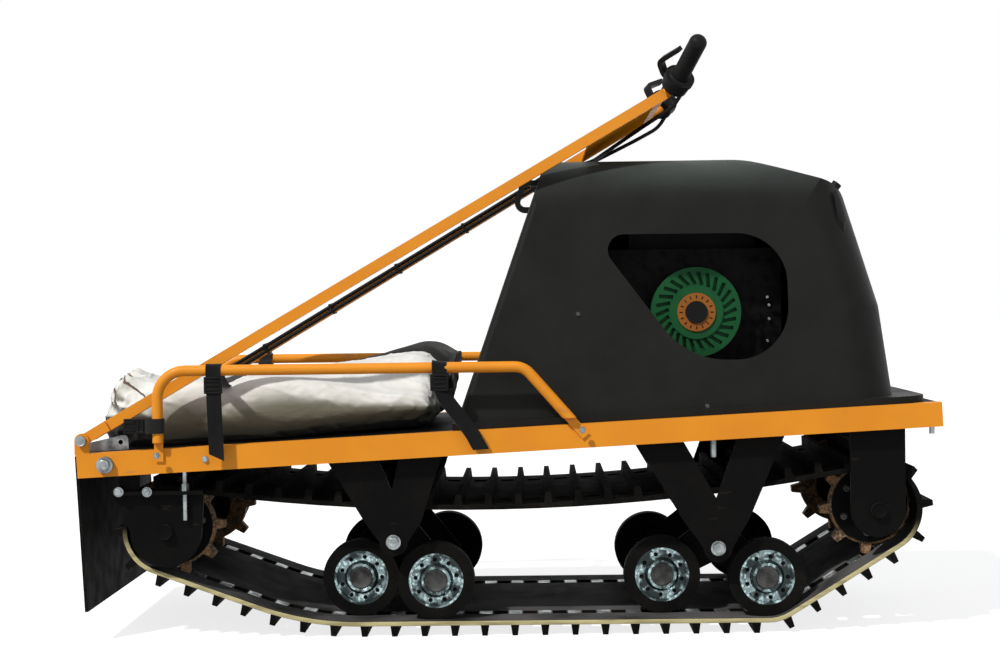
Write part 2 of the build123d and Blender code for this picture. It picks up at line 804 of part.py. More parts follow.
def make_hood():
    """The moulded hood: a tapered shell with rounded corners, a foot and a window on its right."""
    shell = hood_solid(0) - hood_solid(hood_wall)
    below = chassis * Pos(0, 0, rail_height + hood_base_height) * Box(
        3 * frame_length, 3 * frame_width, frame_width, align=(Align.CENTER, Align.CENTER, Align.MAX))
    slant = cos(radians(frame_rise_angle))
    length = (hood_length + hood_base_nose_reach) / slant
    base = Rectangle(length, 2 * (rail_outer_y - hood_base_inset))
    base = fillet(base.vertices().sort_by(Axis.X)[-2:], radius=hood_base_radius)
    base = fillet(base.vertices().sort_by(Axis.X)[:2], radius=hood_base_rear_radius)
    base = base - RectangleRounded(
        length - 2 * (hood_base_nose_reach + rail_width), 2 * (hood_half_width - rail_width),
        hood_base_radius)
    along = (hood_tail_x - frame_tail_x) / slant
    foot = on_chassis(extrude(base, amount=hood_base_height), along + length / 2, 0, rail_height)
    corners = [(hood_tail_x + a * hood_length, hood_base_z + b * hood_height)
               for a, b in window_shares]
    window = make_face(Polyline(*corners, close=True))
    for corner, share in zip(corners, window_radius_shares):
        nearest = window.vertices().sort_by_distance((corner[0], corner[1], 0))[0]
        window = fillet(nearest, radius=share * hood_length)
    return shell - below + foot - side_plate(window, -frame_width, 0)


def hood_back_x(z):
    """The hood's sloping rear face at a height."""
    return hood_tail_x + (z - hood_base_z) / hood_height * hood_side_shares[1][0] * hood_length


def make_hood_handle():
    """The D-shaped grab handle on the hood's rear face, bent from flat bar."""
    half = hood_handle_height / 2 - hood_handle_bar / 2
    middle = hood_base_z + hood_handle_rise
    low, high = middle - half, middle + half
    path = FilletPolyline(
        (hood_back_x(low), 0, low), (hood_back_x(low) - hood_handle_reach, 0, low),
        (hood_back_x(high) - hood_handle_reach, 0, high), (hood_back_x(high), 0, high),
        radius=hood_handle_bend,
    )
    flat = Plane(origin=path @ 0, x_dir=(0, 1, 0), z_dir=path % 0)
    section = flat * Rectangle(hood_handle_width, hood_handle_bar)
    return sweep(section, path=path) - hood_solid(0)


def make_hood_catches():
    """Rubber catches on the front shoulders of the hood."""
    x = hood_tail_x + catch_x_share * hood_length
    body = hood_solid(0)
    layer = Pos(0, 0, catch_height) * body - Pos(0, 0, seat_gap) * body
    y = hood_top_half_width - catch_inset
    peg = Pos(x, y, hood_top_z) * Cylinder(catch_diameter / 2, hood_height)
    return mirrored(peg & layer)


def make_engine():
    """The engine as one plain block on the engine deck."""
    floor = rail_top(engine_x)
    block = Box(engine_length, engine_width, engine_height, align=(Align.CENTER, Align.CENTER, Align.MIN))
    foot = chassis * Pos(0, 0, rail_height) * Box(
        3 * frame_length, 3 * frame_width, frame_width, align=(Align.CENTER, Align.CENTER, Align.MAX))
    return Pos(engine_x, 0, floor - rail_height / 2) * block - foot


def make_starter():
    """The recoil starter housing with its ring of slanted slots."""
    face = -engine_width / 2 - starter_depth
    body = ring_across(starter_diameter, starter_hub_diameter, face, -engine_width / 2,
                       engine_x, starter_z)
    collar = ring_across(starter_collar_diameter, starter_hub_diameter,
                         face - starter_collar_depth, face, engine_x, starter_z)
    outer, inner = starter_diameter / 2 - starter_rim, starter_collar_diameter / 2
    slot = Pos((inner + outer) / 2, 0, 0) * Rot(0, 0, starter_slot_lean) * Box(
        outer - inner, starter_slot_width, 2 * starter_slot_depth)
    slots = []
    for number in range(starter_slot_count):
        turn = 360 * number / starter_slot_count
        slots.append(Pos(engine_x, face, starter_z) * Rot(90, 0, 0) * Rot(0, 0, turn) * slot)
    return body + collar - slots


def make_starter_hub():
    """The coloured ring in the middle of the recoil starter."""
    y = -engine_width / 2
    return ring_across(starter_hub_diameter - 2 * slide_gap, starter_cap_diameter,
                       y - starter_depth - starter_hub_depth, y, engine_x, starter_z)


def make_starter_cap():
    """The plain round cap in the middle of the recoil starter."""
    y = -engine_width / 2
    disc = Pos(engine_x, starter_z) * Circle(starter_cap_diameter / 2 - slide_gap)
    return side_plate(disc, y - starter_depth - starter_cap_depth, y)


def make_tank():
    """The fuel tank on the engine."""
    z = rail_top(engine_x) - rail_height / 2 + engine_height
    tank = Box(tank_length, tank_width, tank_height, align=(Align.CENTER, Align.CENTER, Align.MIN))
    return Pos(engine_x, 0, z) * tank


def make_bag():
    """The fitted cargo bag on the deck, narrower behind where the tiller comes past."""
    nose = (bag_nose_x - frame_tail_x) / cos(radians(frame_rise_angle))
    tail = (bag_tail_x - frame_tail_x) / cos(radians(frame_rise_angle))
    waist = tail + (nose - tail) * bag_waist_share
    plan = make_face(Polyline(
        (tail, -bag_tail_half_width), (waist, -bag_half_width), (nose, -bag_half_width),
        (nose, bag_half_width), (waist, bag_half_width), (tail, bag_tail_half_width), close=True,
    ))
    body = extrude(plan, amount=bag_height)
    body = fillet(body.faces().sort_by(Axis.Z)[-1].edges(), radius=bag_corner_radius)
    return on_chassis(body, 0, 0, rail_height + seat_gap)


def strap_band(x):
    """A webbing strap from side rail to side rail over the bag, with a tail outside the right rail."""
    rest = seat_gap + strap_thickness / 2
    top = rail_top(x + strap_width / 2) + bag_height + 2 * rest
    out = hoop_y + hoop_diameter / 2 + rest
    inside = hoop_y - hoop_diameter / 2 - rest
    crown = hoop_top_z + hoop_diameter / 2 + rest
    flat = bag_half_width - bag_corner_radius
    path = FilletPolyline(
        (x, -out, crown - strap_tail_drop), (x, -out, crown), (x, -inside, crown),
        (x, -inside, crown - strap_inner_drop), (x, -flat, top), (x, flat, top),
        (x, inside, crown - strap_inner_drop), (x, inside, crown), (x, out, crown),
        (x, out, hoop_top_z - hoop_diameter), radius=strap_bend,
    )
    section = Plane(origin=path @ 0, x_dir=(1, 0, 0), z_dir=path % 0)
    return sweep(section * Rectangle(strap_width, strap_thickness), path=path)


def strap_places():
    """Places along the machine of the two straps over the bag."""
    return (frame_tail_x + strap_rear_inset,
            hood_tail_x - strap_front_gap - strap_width / 2)


def post_strap():
    """A short strap looped round the left side rail's rear post."""
    rest = seat_gap + strap_thickness / 2
    loop = hoop_diameter / 2 + rest
    z = rail_top(hoop_rear_x) + post_strap_rise
    back = hoop_rear_x - post_strap_reach
    shoulder = hoop_rear_x - loop - strap_bend / 2
    lip = buckle_thickness / 2 - strap_thickness
    path = FilletPolyline(
        (back, hoop_y + lip, z), (shoulder, hoop_y + loop, z), (hoop_rear_x + loop, hoop_y + loop, z),
        (hoop_rear_x + loop, hoop_y - loop, z), (shoulder, hoop_y - loop, z), (back, hoop_y - lip, z),
        radius=strap_bend,
    )
    section = Plane(origin=path @ 0, x_dir=(0, 0, 1), z_dir=path % 0)
    return sweep(section * Rectangle(strap_width, strap_thickness), path=path)


def make_straps():
    """The webbing straps that hold the bag and stow on the rear posts."""
    bands = [strap_band(x) for x in strap_places()]
    return Compound(children=bands + [post_strap(), mirror(post_strap(), Plane.XZ)])


def make_buckles():
    """Cam locks on the straps outside the right rail, and clip buckles behind the rear posts."""
    rest = seat_gap + strap_thickness / 2
    out = hoop_y + hoop_diameter / 2 + rest
    lock = Box(lock_length, lock_thickness, lock_height) - Box(
        strap_width + 2 * seat_gap, strap_thickness + 2 * seat_gap, lock_height + cut_overrun)
    z = hoop_top_z - hoop_diameter / 2 - lock_height / 2 - cut_overrun / 2
    solids = [Pos(x, -out, z) * lock for x in strap_places()]
    buckle = Box(buckle_length, buckle_thickness, buckle_height)
    buckle = fillet(buckle.edges().filter_by(Axis.Y), radius=buckle_thickness / 4)
    x = hoop_rear_x - post_strap_reach - seat_gap - buckle_length / 2
    for side in (-1, 1):
        solids.append(Pos(x, side * hoop_y, rail_top(hoop_rear_x) + post_strap_rise) * buckle)
    return Compound(children=solids)


def make_stays():
    """Tapered plates that stand on the tail of the deck beside the tiller."""
    shape = outline((
        (stay_inset, rail_height), (stay_inset, rail_height + stay_back_height),
        (stay_inset + stay_length, rail_height + stay_front_height),
        (stay_inset + stay_length, rail_height),
    ))
    corner = shape.vertices().sort_by(Axis.Y)[-1]
    shape = fillet(corner, radius=stay_bend)
    hole = Pos(stay_inset + stay_length - stay_front_height / 2, rail_height + stay_front_height / 2)
    shape = shape - hole * Circle(stay_hole_diameter / 2)
    middle = rail_inner_y - stay_side_gap
    plate = side_plate(shape, middle - stay_thickness / 2, middle + stay_thickness / 2)
    return mirrored(chassis * plate)


tiller_place = Pos(tiller_pivot_x, 0, tiller_pivot_z) * Rot(0, -tiller_angle, 0)
tiller_splay = degrees(atan2(tiller_base_y - tiller_top_y, tiller_length))


def tube_inner_y(along):
    """Inner face of the left tiller tube at a distance from the pivot."""
    drift = (tiller_base_y - tiller_top_y) / tiller_length
    return tiller_base_y - drift * along - tiller_tube / 2 / cos(atan2(drift, 1))


def along_left_tube(shape):
    """Lay a shape with its middle at the origin along the left tiller tube."""
    reach = (tiller_length + tiller_start) / 2 / cos(radians(tiller_splay))
    return Pos(0, tiller_base_y, 0) * Rot(0, 0, -tiller_splay) * Pos(reach, 0, 0) * shape


def tiller_bar():
    """The outside of the left tiller tube as a solid bar."""
    length = (tiller_length - tiller_start) / cos(radians(tiller_splay))
    return along_left_tube(Box(length, tiller_tube, tiller_tube))


def tiller_bore():
    """The inside of the left tiller tube, open at both ends."""
    hollow = tiller_tube - 2 * tiller_wall
    return along_left_tube(Box(tiller_length + tiller_tube, hollow, hollow))


def make_tiller_tube():
    """The left tiller tube with the flat tab that its pin goes through."""
    tube = tiller_bar() - tiller_bore()
    tab = Pos(3 * tiller_start / 2, 0) * Rectangle(3 * tiller_start, tiller_tube)
    tab = tab + Circle(tiller_tube / 2) - Circle(tiller_pin_diameter / 2 + slide_gap)
    tab = side_plate(tab, tab_outer_y - tiller_tab_thickness, tab_outer_y)
    return tiller_place * (tube + tab)


def make_tiller_pins():
    """Pins through the ears and the tiller tabs."""
    outer = rail_outer_y
    inner = outer - tail_ear_thickness - seat_gap - tiller_tab_thickness - seat_gap
    middle = (outer + inner) / 2
    pin = Pos(tiller_pivot_x, middle, tiller_pivot_z) * Rot(90, 0, 0) * Cylinder(
        tiller_pin_diameter / 2, outer - inner)
    head = ring_across(tiller_pin_head, tiller_pin_diameter - weld_bite, outer,
                       outer + tiller_pin_head_thickness, tiller_pivot_x, tiller_pivot_z)
    tail = ring_across(tiller_pin_head, tiller_pin_diameter - weld_bite,
                       inner - tiller_pin_head_thickness, inner, tiller_pivot_x, tiller_pivot_z)
    return mirrored(pin + head + tail)


def make_tiller_cross():
    """The square bar that holds the two tiller tubes apart under the handles."""
    along = tiller_length - tiller_tube
    bar = Pos(along, 0, 0) * Box(tiller_tube, 2 * tiller_top_y, tiller_tube)
    bar = bar - tiller_bar() - mirror(tiller_bar(), Plane.XZ)
    return tiller_place * bar


tube_aim = Vector(cos(radians(tiller_splay)), -sin(radians(tiller_splay)), 0)
tube_end = Vector(tiller_length, tiller_top_y, 0)
handle_aim = Vector(*handle_aim_shares).normalized()
handle_corner = tube_end + tube_aim * handle_neck
handle_plane = Plane(origin=handle_corner, z_dir=handle_aim, x_dir=handle_aim.cross(Vector(0, 0, 1)))


def on_handle(shape, reach):
    """Place a shape on the line of the left handle, a distance past its bend."""
    return tiller_place * handle_plane.location * Pos(0, 0, reach) * shape


def make_handles():
    """Round handle bars that bend outwards and up from the ends of the tiller tubes."""
    end = handle_corner + handle_aim * (grip_start + grip_length - grip_diameter / 4)
    path = FilletPolyline(tube_end, handle_corner, end, radius=handle_bend)
    section = Plane(origin=path @ 0, z_dir=path % 0) * Circle(handle_diameter / 2)
    return mirrored(tiller_place * sweep(section, path=path))


def make_grips():
    """Rubber grips with a round end and a wide flange towards the tiller."""
    body = Pos(0, 0, grip_length / 2) * Cylinder(grip_diameter / 2, grip_length)
    body = fillet(body.faces().sort_by(Axis.Z)[-1].edges(), radius=grip_diameter / 2 - cut_overrun)
    flange = Pos(0, 0, grip_flange_thickness / 2) * Cylinder(
        grip_flange_diameter / 2, grip_flange_thickness)
    bore = Cylinder(handle_diameter / 2 + slide_gap, 2 * (grip_length - grip_diameter / 4))
    return mirrored(on_handle(body + flange - bore, grip_start))


def make_clamps():
    """Clamps on the handles that the control levers turn in."""
    clamp = Cylinder(perch_diameter / 2, perch_width) - Cylinder(
        handle_diameter / 2 + slide_gap, perch_width + cut_overrun)
    return mirrored(on_handle(clamp, grip_start - perch_width / 2 - seat_gap))


def make_levers():
    """Control levers that rise from their clamps and lie over the grips."""
    aim = Vector(cos(radians(lever_turn)), sin(radians(lever_turn)), 0)
    start = perch_diameter / 2 + seat_gap
    path = FilletPolyline(
        aim * start, aim * lever_root_rise,
        aim * lever_shoulder_rise + Vector(0, 0, lever_shoulder_reach),
        aim * lever_tip_rise + Vector(0, 0, lever_reach), radius=lever_bend,
    )
    section = Plane(origin=path @ 0, x_dir=Vector(0, 0, 1).cross(aim), z_dir=path % 0)
    blade = sweep(section * Rectangle(lever_blade, lever_thickness), path=path)
    return mirrored(on_handle(blade, grip_start - perch_width / 2 - seat_gap))


def make_console():
    """The sheet plate between the tiller tubes below the cross bar."""
    end = tiller_length - 3 * tiller_tube / 2 - seat_gap
    start = end - console_length
    near, far = tube_inner_y(start) - seat_gap, tube_inner_y(end) - seat_gap
    plan = make_face(Polyline((start, -near), (end, -far), (end, far), (start, near), close=True))
    return tiller_place * Pos(0, 0, -tiller_tube / 2) * extrude(plan, amount=console_thickness)


def cable_line(row, side, cross_y):
    """Route of one control cable, up the left tube and under the console to one handle."""
    up = tiller_tube / 2 - cable_diameter / 2 - row * cable_spread
    beside = cable_diameter / 2 + seat_gap
    leave = tiller_length - cable_leave
    clamp = handle_corner + handle_aim * (grip_start - perch_width / 2 - seat_gap)
    under = clamp + handle_plane.y_dir * (perch_diameter / 2 + cable_diameter / 2 + seat_gap)
    return [
        Vector(cable_start, tube_inner_y(cable_start) - beside, up),
        Vector(leave, tube_inner_y(leave) - beside, up),
        Vector(tiller_length - cable_cross_start, cross_y, -cable_drop),
        Vector(tiller_length - cable_cross_end, side * cable_near_y, -cable_sag),
        Vector(tiller_length, side * clamp.Y, -cable_sag),
        Vector(under.X, side * under.Y, under.Z),
    ]


def cable_radii(points):
    """Bend radius at every inner corner of a cable's route."""
    radii = []
    for before, corner, after in zip(points, points[1:], points[2:]):
        turn = (corner - before).get_angle(after - corner)
        run = min((corner - before).length, (after - corner).length)
        radii.append(cable_bend_share * run / tan(radians(turn) / 2))
    return radii


def make_cables():
    """Two control cables from the tiller's foot to the levers."""
    cables = []
    for row, side, cross_y in ((0, -1, cable_far_y), (1, 1, cable_far_y + 2 * cable_spread)):
        points = cable_line(row, side, cross_y)
        path = FilletPolyline(*points, radius=cable_radii(points))
        section = Plane(origin=path @ 0, z_dir=path % 0) * Circle(cable_diameter / 2)
        cables.append(sweep(section, path=path))
    return tiller_place * Compound(children=cables)


def make_frame_studs():
    """Studs that hang under the rails at the nose and over the front bogie."""
    studs = []
    for x, drop in ((frame_nose_x - nose_stud_inset, stud_drop),
                    (frame_tail_x + middle_stud_share * frame_reach_x, middle_stud_drop)):
        studs.append(Pos(x, rail_outer_y - rail_width / 2, rail_bottom(x) - drop / 2 - seat_gap)
                     * Cylinder(stud_diameter / 2, drop))
    return mirrored(Compound(children=studs))


NODES = {}


def build_all():
    """Make every piece of the machine under its own name."""
    rail = make_rail()
    NODES["frame_rail_left"] = rail
    NODES["frame_rail_right"] = mirror(rail, Plane.XZ)
    NODES["frame_cross_members"] = make_cross_members()
    NODES["frame_end_caps"] = make_end_caps()
    hood_along = (hood_tail_x - frame_tail_x) / cos(radians(frame_rise_angle))
    NODES["cargo_deck"] = make_deck(0, hood_along)
    NODES["engine_deck"] = make_deck(hood_along, frame_length)
    NODES["track"] = make_track()
    NODES["drive_sprockets"] = make_sprocket_rings((drive_x, drive_z))
    NODES["idler_sprockets"] = make_sprocket_rings((idler_x, idler_z))
    NODES["drive_discs"] = make_sprocket_discs((drive_x, drive_z))
    NODES["idler_discs"] = make_sprocket_discs((idler_x, idler_z))
    reach = rail_inner_y + shaft_overhang
    NODES["drive_axle"] = cross_tube(shaft_diameter, reach, drive_x, drive_z)
    NODES["idler_axle"] = cross_tube(shaft_diameter, reach, idler_x, idler_z)
    NODES["front_axle_plates"] = make_front_plates()
    NODES["rear_axle_plates"] = make_rear_plates()
    NODES["tension_rods"] = make_tension_rods()
    for name in bogie_shares:
        NODES["bogie_hangers_" + name] = make_hangers(name)
        NODES["bogie_frame_" + name] = make_bogie_frame(name)
    NODES["bogie_pivots"] = make_pivot_shafts()
    NODES["wheel_tyres"] = make_wheel_tyres()
    NODES["wheel_rims"] = make_wheel_rims()
    NODES["wheel_axles"] = make_wheel_axles()
    NODES["mudflap"] = make_flap()
    NODES["tow_bar"] = make_tow_bar()
    hoop = make_hoop()
    NODES["side_rail_left"] = hoop
    NODES["side_rail_right"] = mirror(hoop, Plane.XZ)
    NODES["engine_hood"] = make_hood()
    NODES["hood_handle"] = make_hood_handle()
    NODES["hood_catches"] = make_hood_catches()
    NODES["engine_block"] = make_engine()
    NODES["recoil_starter"] = make_starter()
    NODES["starter_hub"] = make_starter_hub()
    NODES["starter_cap"] = make_starter_cap()
    NODES["fuel_tank"] = make_tank()
    NODES["cargo_bag"] = make_bag()
    NODES["cargo_straps"] = make_straps()
    NODES["strap_buckles"] = make_buckles()
    NODES["tail_stays"] = make_stays()
    NODES["tiller_pins"] = make_tiller_pins()
    tube = make_tiller_tube()
    NODES["tiller_tube_left"] = tube
    NODES["tiller_tube_right"] = mirror(tube, Plane.XZ)
    NODES["tiller_cross_bar"] = make_tiller_cross()
    NODES["tiller_console"] = make_console()
    NODES["tiller_handles"] = make_handles()
    NODES["tiller_grips"] = make_grips()
    NODES["lever_clamps"] = make_clamps()
    NODES["control_levers"] = make_levers()
    NODES["control_cables"] = make_cables()
    NODES["frame_studs"] = make_frame_studs()


build_all()
os.makedirs("parts", exist_ok=True)
for name, shape in NODES.items():
    export_step(shape, os.path.join("parts", name + ".step"))
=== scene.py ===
import json
import logging
import math
from collections.abc import Callable, Iterable
from dataclasses import dataclass
from enum import Enum

import bpy
from mathutils import Matrix, Vector, noise

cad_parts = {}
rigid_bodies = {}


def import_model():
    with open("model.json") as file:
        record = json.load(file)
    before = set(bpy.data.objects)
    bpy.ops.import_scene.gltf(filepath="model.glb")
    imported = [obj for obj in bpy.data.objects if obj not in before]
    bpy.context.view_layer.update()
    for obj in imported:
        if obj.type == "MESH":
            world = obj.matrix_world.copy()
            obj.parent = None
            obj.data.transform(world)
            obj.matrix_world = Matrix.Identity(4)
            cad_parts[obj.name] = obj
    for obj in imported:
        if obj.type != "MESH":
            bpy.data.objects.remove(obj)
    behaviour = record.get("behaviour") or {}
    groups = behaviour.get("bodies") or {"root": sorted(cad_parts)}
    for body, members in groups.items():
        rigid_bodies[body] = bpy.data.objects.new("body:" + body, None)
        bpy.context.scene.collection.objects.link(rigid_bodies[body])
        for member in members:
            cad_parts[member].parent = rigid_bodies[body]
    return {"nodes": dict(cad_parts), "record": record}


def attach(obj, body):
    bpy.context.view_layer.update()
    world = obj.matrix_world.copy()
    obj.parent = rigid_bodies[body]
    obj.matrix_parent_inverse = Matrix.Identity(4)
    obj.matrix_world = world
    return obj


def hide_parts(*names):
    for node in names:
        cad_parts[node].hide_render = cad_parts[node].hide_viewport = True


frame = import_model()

LOG = logging.getLogger("snow_tug")
Triple = tuple[float, float, float]
Piece = bpy.types.Object
Socket = bpy.types.NodeSocket

# The picture's frame and where its camera stood, in pixels and metres
PHOTO_WIDTH = 1000
PHOTO_HEIGHT = 672
FOCAL_PIXELS = 1840.0
DEPTH_POINT = (535.0, 300.0)
PICTURE_ROLL = math.radians(0.75)
CAMERA_PLACE = Vector((0.056, -3.320, 0.561))
SENSOR_WIDTH = 36.0

# The right and the left side, and a ray's way down from above the deck, in metres
SIDES = (-1.0, 1.0)
DOWN = Vector((0.0, 0.0, -1.0))
ABOVE_DECK = 0.7


class Body(Enum):
    """The bodies of the machine that a piece can ride on."""

    CHASSIS = "chassis"
    TILLER = "tiller"


def feed(node: bpy.types.Node, inputs: dict) -> None:
    """Give a node's inputs their sockets or plain values.

    Args:
        node: The node.
        inputs: Names or numbers of inputs, each with what it gets.
    """
    for name, value in inputs.items():
        if isinstance(value, Socket):
            node.id_data.links.new(value, node.inputs[name])
        else:
            node.inputs[name].default_value = value


def add_node(tree: bpy.types.NodeTree, kind: str, inputs: dict,
             **settings: object) -> bpy.types.Node:
    """Add a shader node.

    Args:
        tree: The tree it goes into.
        kind: Its type.
        inputs: What its inputs get.
        settings: Its own properties.

    Returns:
        The node.
    """
    node = tree.nodes.new(kind)
    for name, value in settings.items():
        setattr(node, name, value)
    feed(node, inputs)
    return node


def ease(value: float, low: float, high: float) -> float:
    """A smooth climb from zero to one."""
    share = min(max((value - low) / (high - low), 0.0), 1.0)
    return share * share * (3.0 - 2.0 * share)


def facing_place(place: Vector, axis: Vector, turn: float = 0.0) -> Matrix:
    """A place whose upward axis points a given way."""
    spin = Vector((0.0, 0.0, 1.0)).rotation_difference(axis.normalized()).to_matrix().to_4x4()
    return Matrix.Translation(place) @ spin @ Matrix.Rotation(turn, 4, "Z")


def on_node(node: str, start: Vector, way: Vector) -> Matrix:
    """The place where a line meets a node, facing out of it.

    Args:
        node: Name of the node.
        start: A point outside the node, in metres.
        way: Direction to the node.

    Returns:
        The matrix of the place.
    """
    hit, place, normal, _ = frame["nodes"][node].ray_cast(start, way.normalized())
    if not hit:
        raise ValueError(f"no surface of {node} from {start}")
    return facing_place(place, normal)


class Graph:
    """Builds a procedural material on a Principled shader.

    Args:
        name: The material's name.
        roughness: How matt the surface is.
        metallic: One for bare metal, zero for the rest.
        gloss: Specular level.
    """

    def __init__(self, name: str, roughness: float, metallic: float = 0.0,
                 gloss: float = 0.5) -> None:
        """Start the material with its plain values."""
        self.material = bpy.data.materials.new(name)
        self.material.use_nodes = True
        self.tree = self.material.node_tree
        self.shader = self.tree.nodes["Principled BSDF"]
        feed(self.shader, {"Roughness": roughness, "Metallic": metallic,
                           "Specular IOR Level": gloss})
        self.sources = self.tree.nodes.new("ShaderNodeTexCoord").outputs

    def noise(self, scale: float, detail: float, stretch: Triple = (1.0, 1.0, 1.0)) -> Socket:
        """A noise value over the surface.

        Args:
            scale: Features per metre.
            detail: Octaves of finer noise.
            stretch: Scale of the place along X, Y and Z before the noise.

        Returns:
            The noise's value.
        """
        place = {"Scale": stretch, "Vector": self.sources["Object"]}
        mapping = add_node(self.tree, "ShaderNodeMapping", place)
        inputs = {"Scale": scale, "Detail": detail, "Vector": mapping.outputs["Vector"]}
        return add_node(self.tree, "ShaderNodeTexNoise", inputs).outputs["Fac"]

    def band(self, value: Socket, low: float, high: float) -> Socket:
        """A value that climbs from zero to one between two levels."""
        return add_node(self.tree, "ShaderNodeMapRange",
                        {"Value": value, "From Min": low, "From Max": high},
                        interpolation_type="SMOOTHSTEP").outputs["Result"]

    def math(self, operation: str, first: Socket, second: Socket | float = 0.0) -> Socket:
        """Combine two values."""
        return add_node(self.tree, "ShaderNodeMath", {0: first, 1: second},
                        operation=operation).outputs["Value"]

    def product(self, first: Socket, *others: Socket | float) -> Socket:
        """Multiply some values.

        Args:
            first: The first value.
            others: The others.

        Returns:
            Their product.
        """
        for other in others:
            first = self.math("MULTIPLY", first, other)
        return first

    def wobble(self, scale: float, detail: float, size: float) -> Socket:
        """A noise round zero."""
        return self.product(self.math("SUBTRACT", self.noise(scale, detail), 0.5), size)

    def axis(self, name: str, source: str = "Object") -> Socket:
        """One coordinate of the place on the object, in metres, or of another source."""
        inputs = {"Vector": self.sources[source]}
        return add_node(self.tree, "ShaderNodeSeparateXYZ", inputs).outputs[name]

    def mix(self, share: Socket, first: Socket | Triple, second: Socket | Triple) -> Socket:
        """Blend two colours.

        Args:
            share: One where the second colour shows.
            first: The first colour.
            second: The second colour.

        Returns:
            The blended colour.
        """
        first, second = ((*colour, 1.0) if isinstance(colour, tuple) else colour
                         for colour in (first, second))
        return add_node(self.tree, "ShaderNodeMix", {"Factor": share, 6: first, 7: second},
                        data_type="RGBA").outputs[2]

    def roughness(self, value: Socket, low: float, high: float) -> None:
        """Let the roughness follow a value.

        Args:
            value: The value to follow.
            low: Roughness where the value is zero.
            high: Roughness where it is one.
        """
        node = add_node(self.tree, "ShaderNodeMapRange",
                        {"Value": value, "To Min": low, "To Max": high})
        feed(self.shader, {"Roughness": node.outputs["Result"]})

    def bump(self, height: Socket, distance: float, strength: float) -> None:
        """Raise the surface by a height, over any bump before it.

        Args:
            height: The height.
            distance: Height of one unit, in metres.
            strength: Share of the effect.
        """
        node = add_node(self.tree, "ShaderNodeBump",
                        {"Height": height, "Distance": distance, "Strength": strength})
        normal = self.shader.inputs["Normal"]
        if normal.is_linked:
            feed(node, {"Normal": normal.links[0].from_socket})
        feed(self.shader, {"Normal": node.outputs["Normal"]})

    def weave(self, threads: float, distance: float, strength: float, sheen: float) -> None:
        """Raise crossing threads and give the cloth its sheen.

        Args:
            threads: Scale of the threads.
            distance: Height of a thread, in metres.
            strength: Share of the effect.
            sheen: Weight of the sheen.
        """
        for direction in ("X", "Y", "Z"):
            inputs = {"Scale": threads, "Distortion": 0.6, "Vector": self.sources["Object"]}
            wave = add_node(self.tree, "ShaderNodeTexWave", inputs, bands_direction=direction)
            self.bump(wave.outputs["Fac"], distance, strength)
        feed(self.shader, {"Sheen Weight": sheen})


@dataclass(frozen=True)
class Finish:
    """A surface finish of the machine.

    Args:
        name: Name of the record's material slot.
        base: Main colour, linear.
        second: Colour that varies it.
        roughness: How matt it is.
        dust: Share of pale dust, laid in patches.
        gloss: Specular level of the bare surface.
    """

    name: str
    base: Triple
    second: Triple
    roughness: float
    dust: float = 0.0
    gloss: float = 0.5

    # Noise between the two colours, its levels, the roughness that follows it, and the grains as
    # noise, height and strength
    metallic = 0.0
    clouds = (12.0, 4.0)
    levels = (0.3, 0.75)
    spread = ()
    grains = ()
    dust_colour = (0.30, 0.26, 0.19)

    def with_dust(self, graph: Graph, colour: Socket) -> Socket:
        """Lay dust over a colour.

        Args:
            graph: The material in making.
            colour: The colour under the dust.

        Returns:
            The dusted colour.
        """
        if not self.dust:
            return colour
        patches = graph.band(graph.noise(18.0, 5.0), 0.42, 0.75)
        grit = graph.band(graph.noise(420.0, 2.0), 0.35, 0.7)
        return graph.mix(graph.product(patches, grit, self.dust), colour, self.dust_colour)

    def dress(self, graph: Graph, cloud: Socket) -> Socket:
        """Make the surface's colour."""
        return self.with_dust(graph, graph.mix(cloud, self.base, self.second))

    def build(self) -> bpy.types.Material:
        """Make the material.

        Returns:
            The Blender material.
        """
        graph = Graph(self.name, self.roughness, self.metallic, self.gloss)
        cloud = graph.band(graph.noise(*self.clouds), *self.levels)
        feed(graph.shader, {"Base Color": self.dress(graph, cloud)})
        if self.spread:
            graph.roughness(cloud, *(self.roughness + step for step in self.spread))
        for *pattern, distance, strength in self.grains:
            graph.bump(graph.noise(*pattern), distance, strength)
        return graph.material


class Paint(Finish):
    """Gloss paint on steel, with a fine orange peel and small scuffs."""

    clouds = (9.0, 4.0)
    spread = (0.0, 0.15)
    grains = ((900.0, 1.0, 0.0002, 0.35),)
    scuffed = (0.20, 0.14, 0.09)

    def dress(self, graph: Graph, cloud: Socket) -> Socket:
        """Add scuffs under the dust, and a coat of lacquer."""
        scuffs = graph.band(graph.noise(60.0, 6.0, (0.25, 1.0, 1.0)), 0.66, 0.74)
        worn = graph.product(scuffs, min(6.0 * self.dust, 0.35))
        colour = graph.mix(worn, graph.mix(cloud, self.base, self.second), self.scuffed)
        feed(graph.shader, {"Coat Weight": 0.25 * self.gloss, "Coat Roughness": 0.2})
        return self.with_dust(graph, colour)


class Metal(Finish):
    """Bare or plated metal with a cloudy, scratched surface."""

    metallic = 1.0
    clouds = (55.0, 5.0)
    levels = (0.3, 0.7)
    spread = (-0.1, 0.15)
    grains = ((700.0, 3.0, (0.2, 1.0, 1.0), 0.0002, 0.4),)


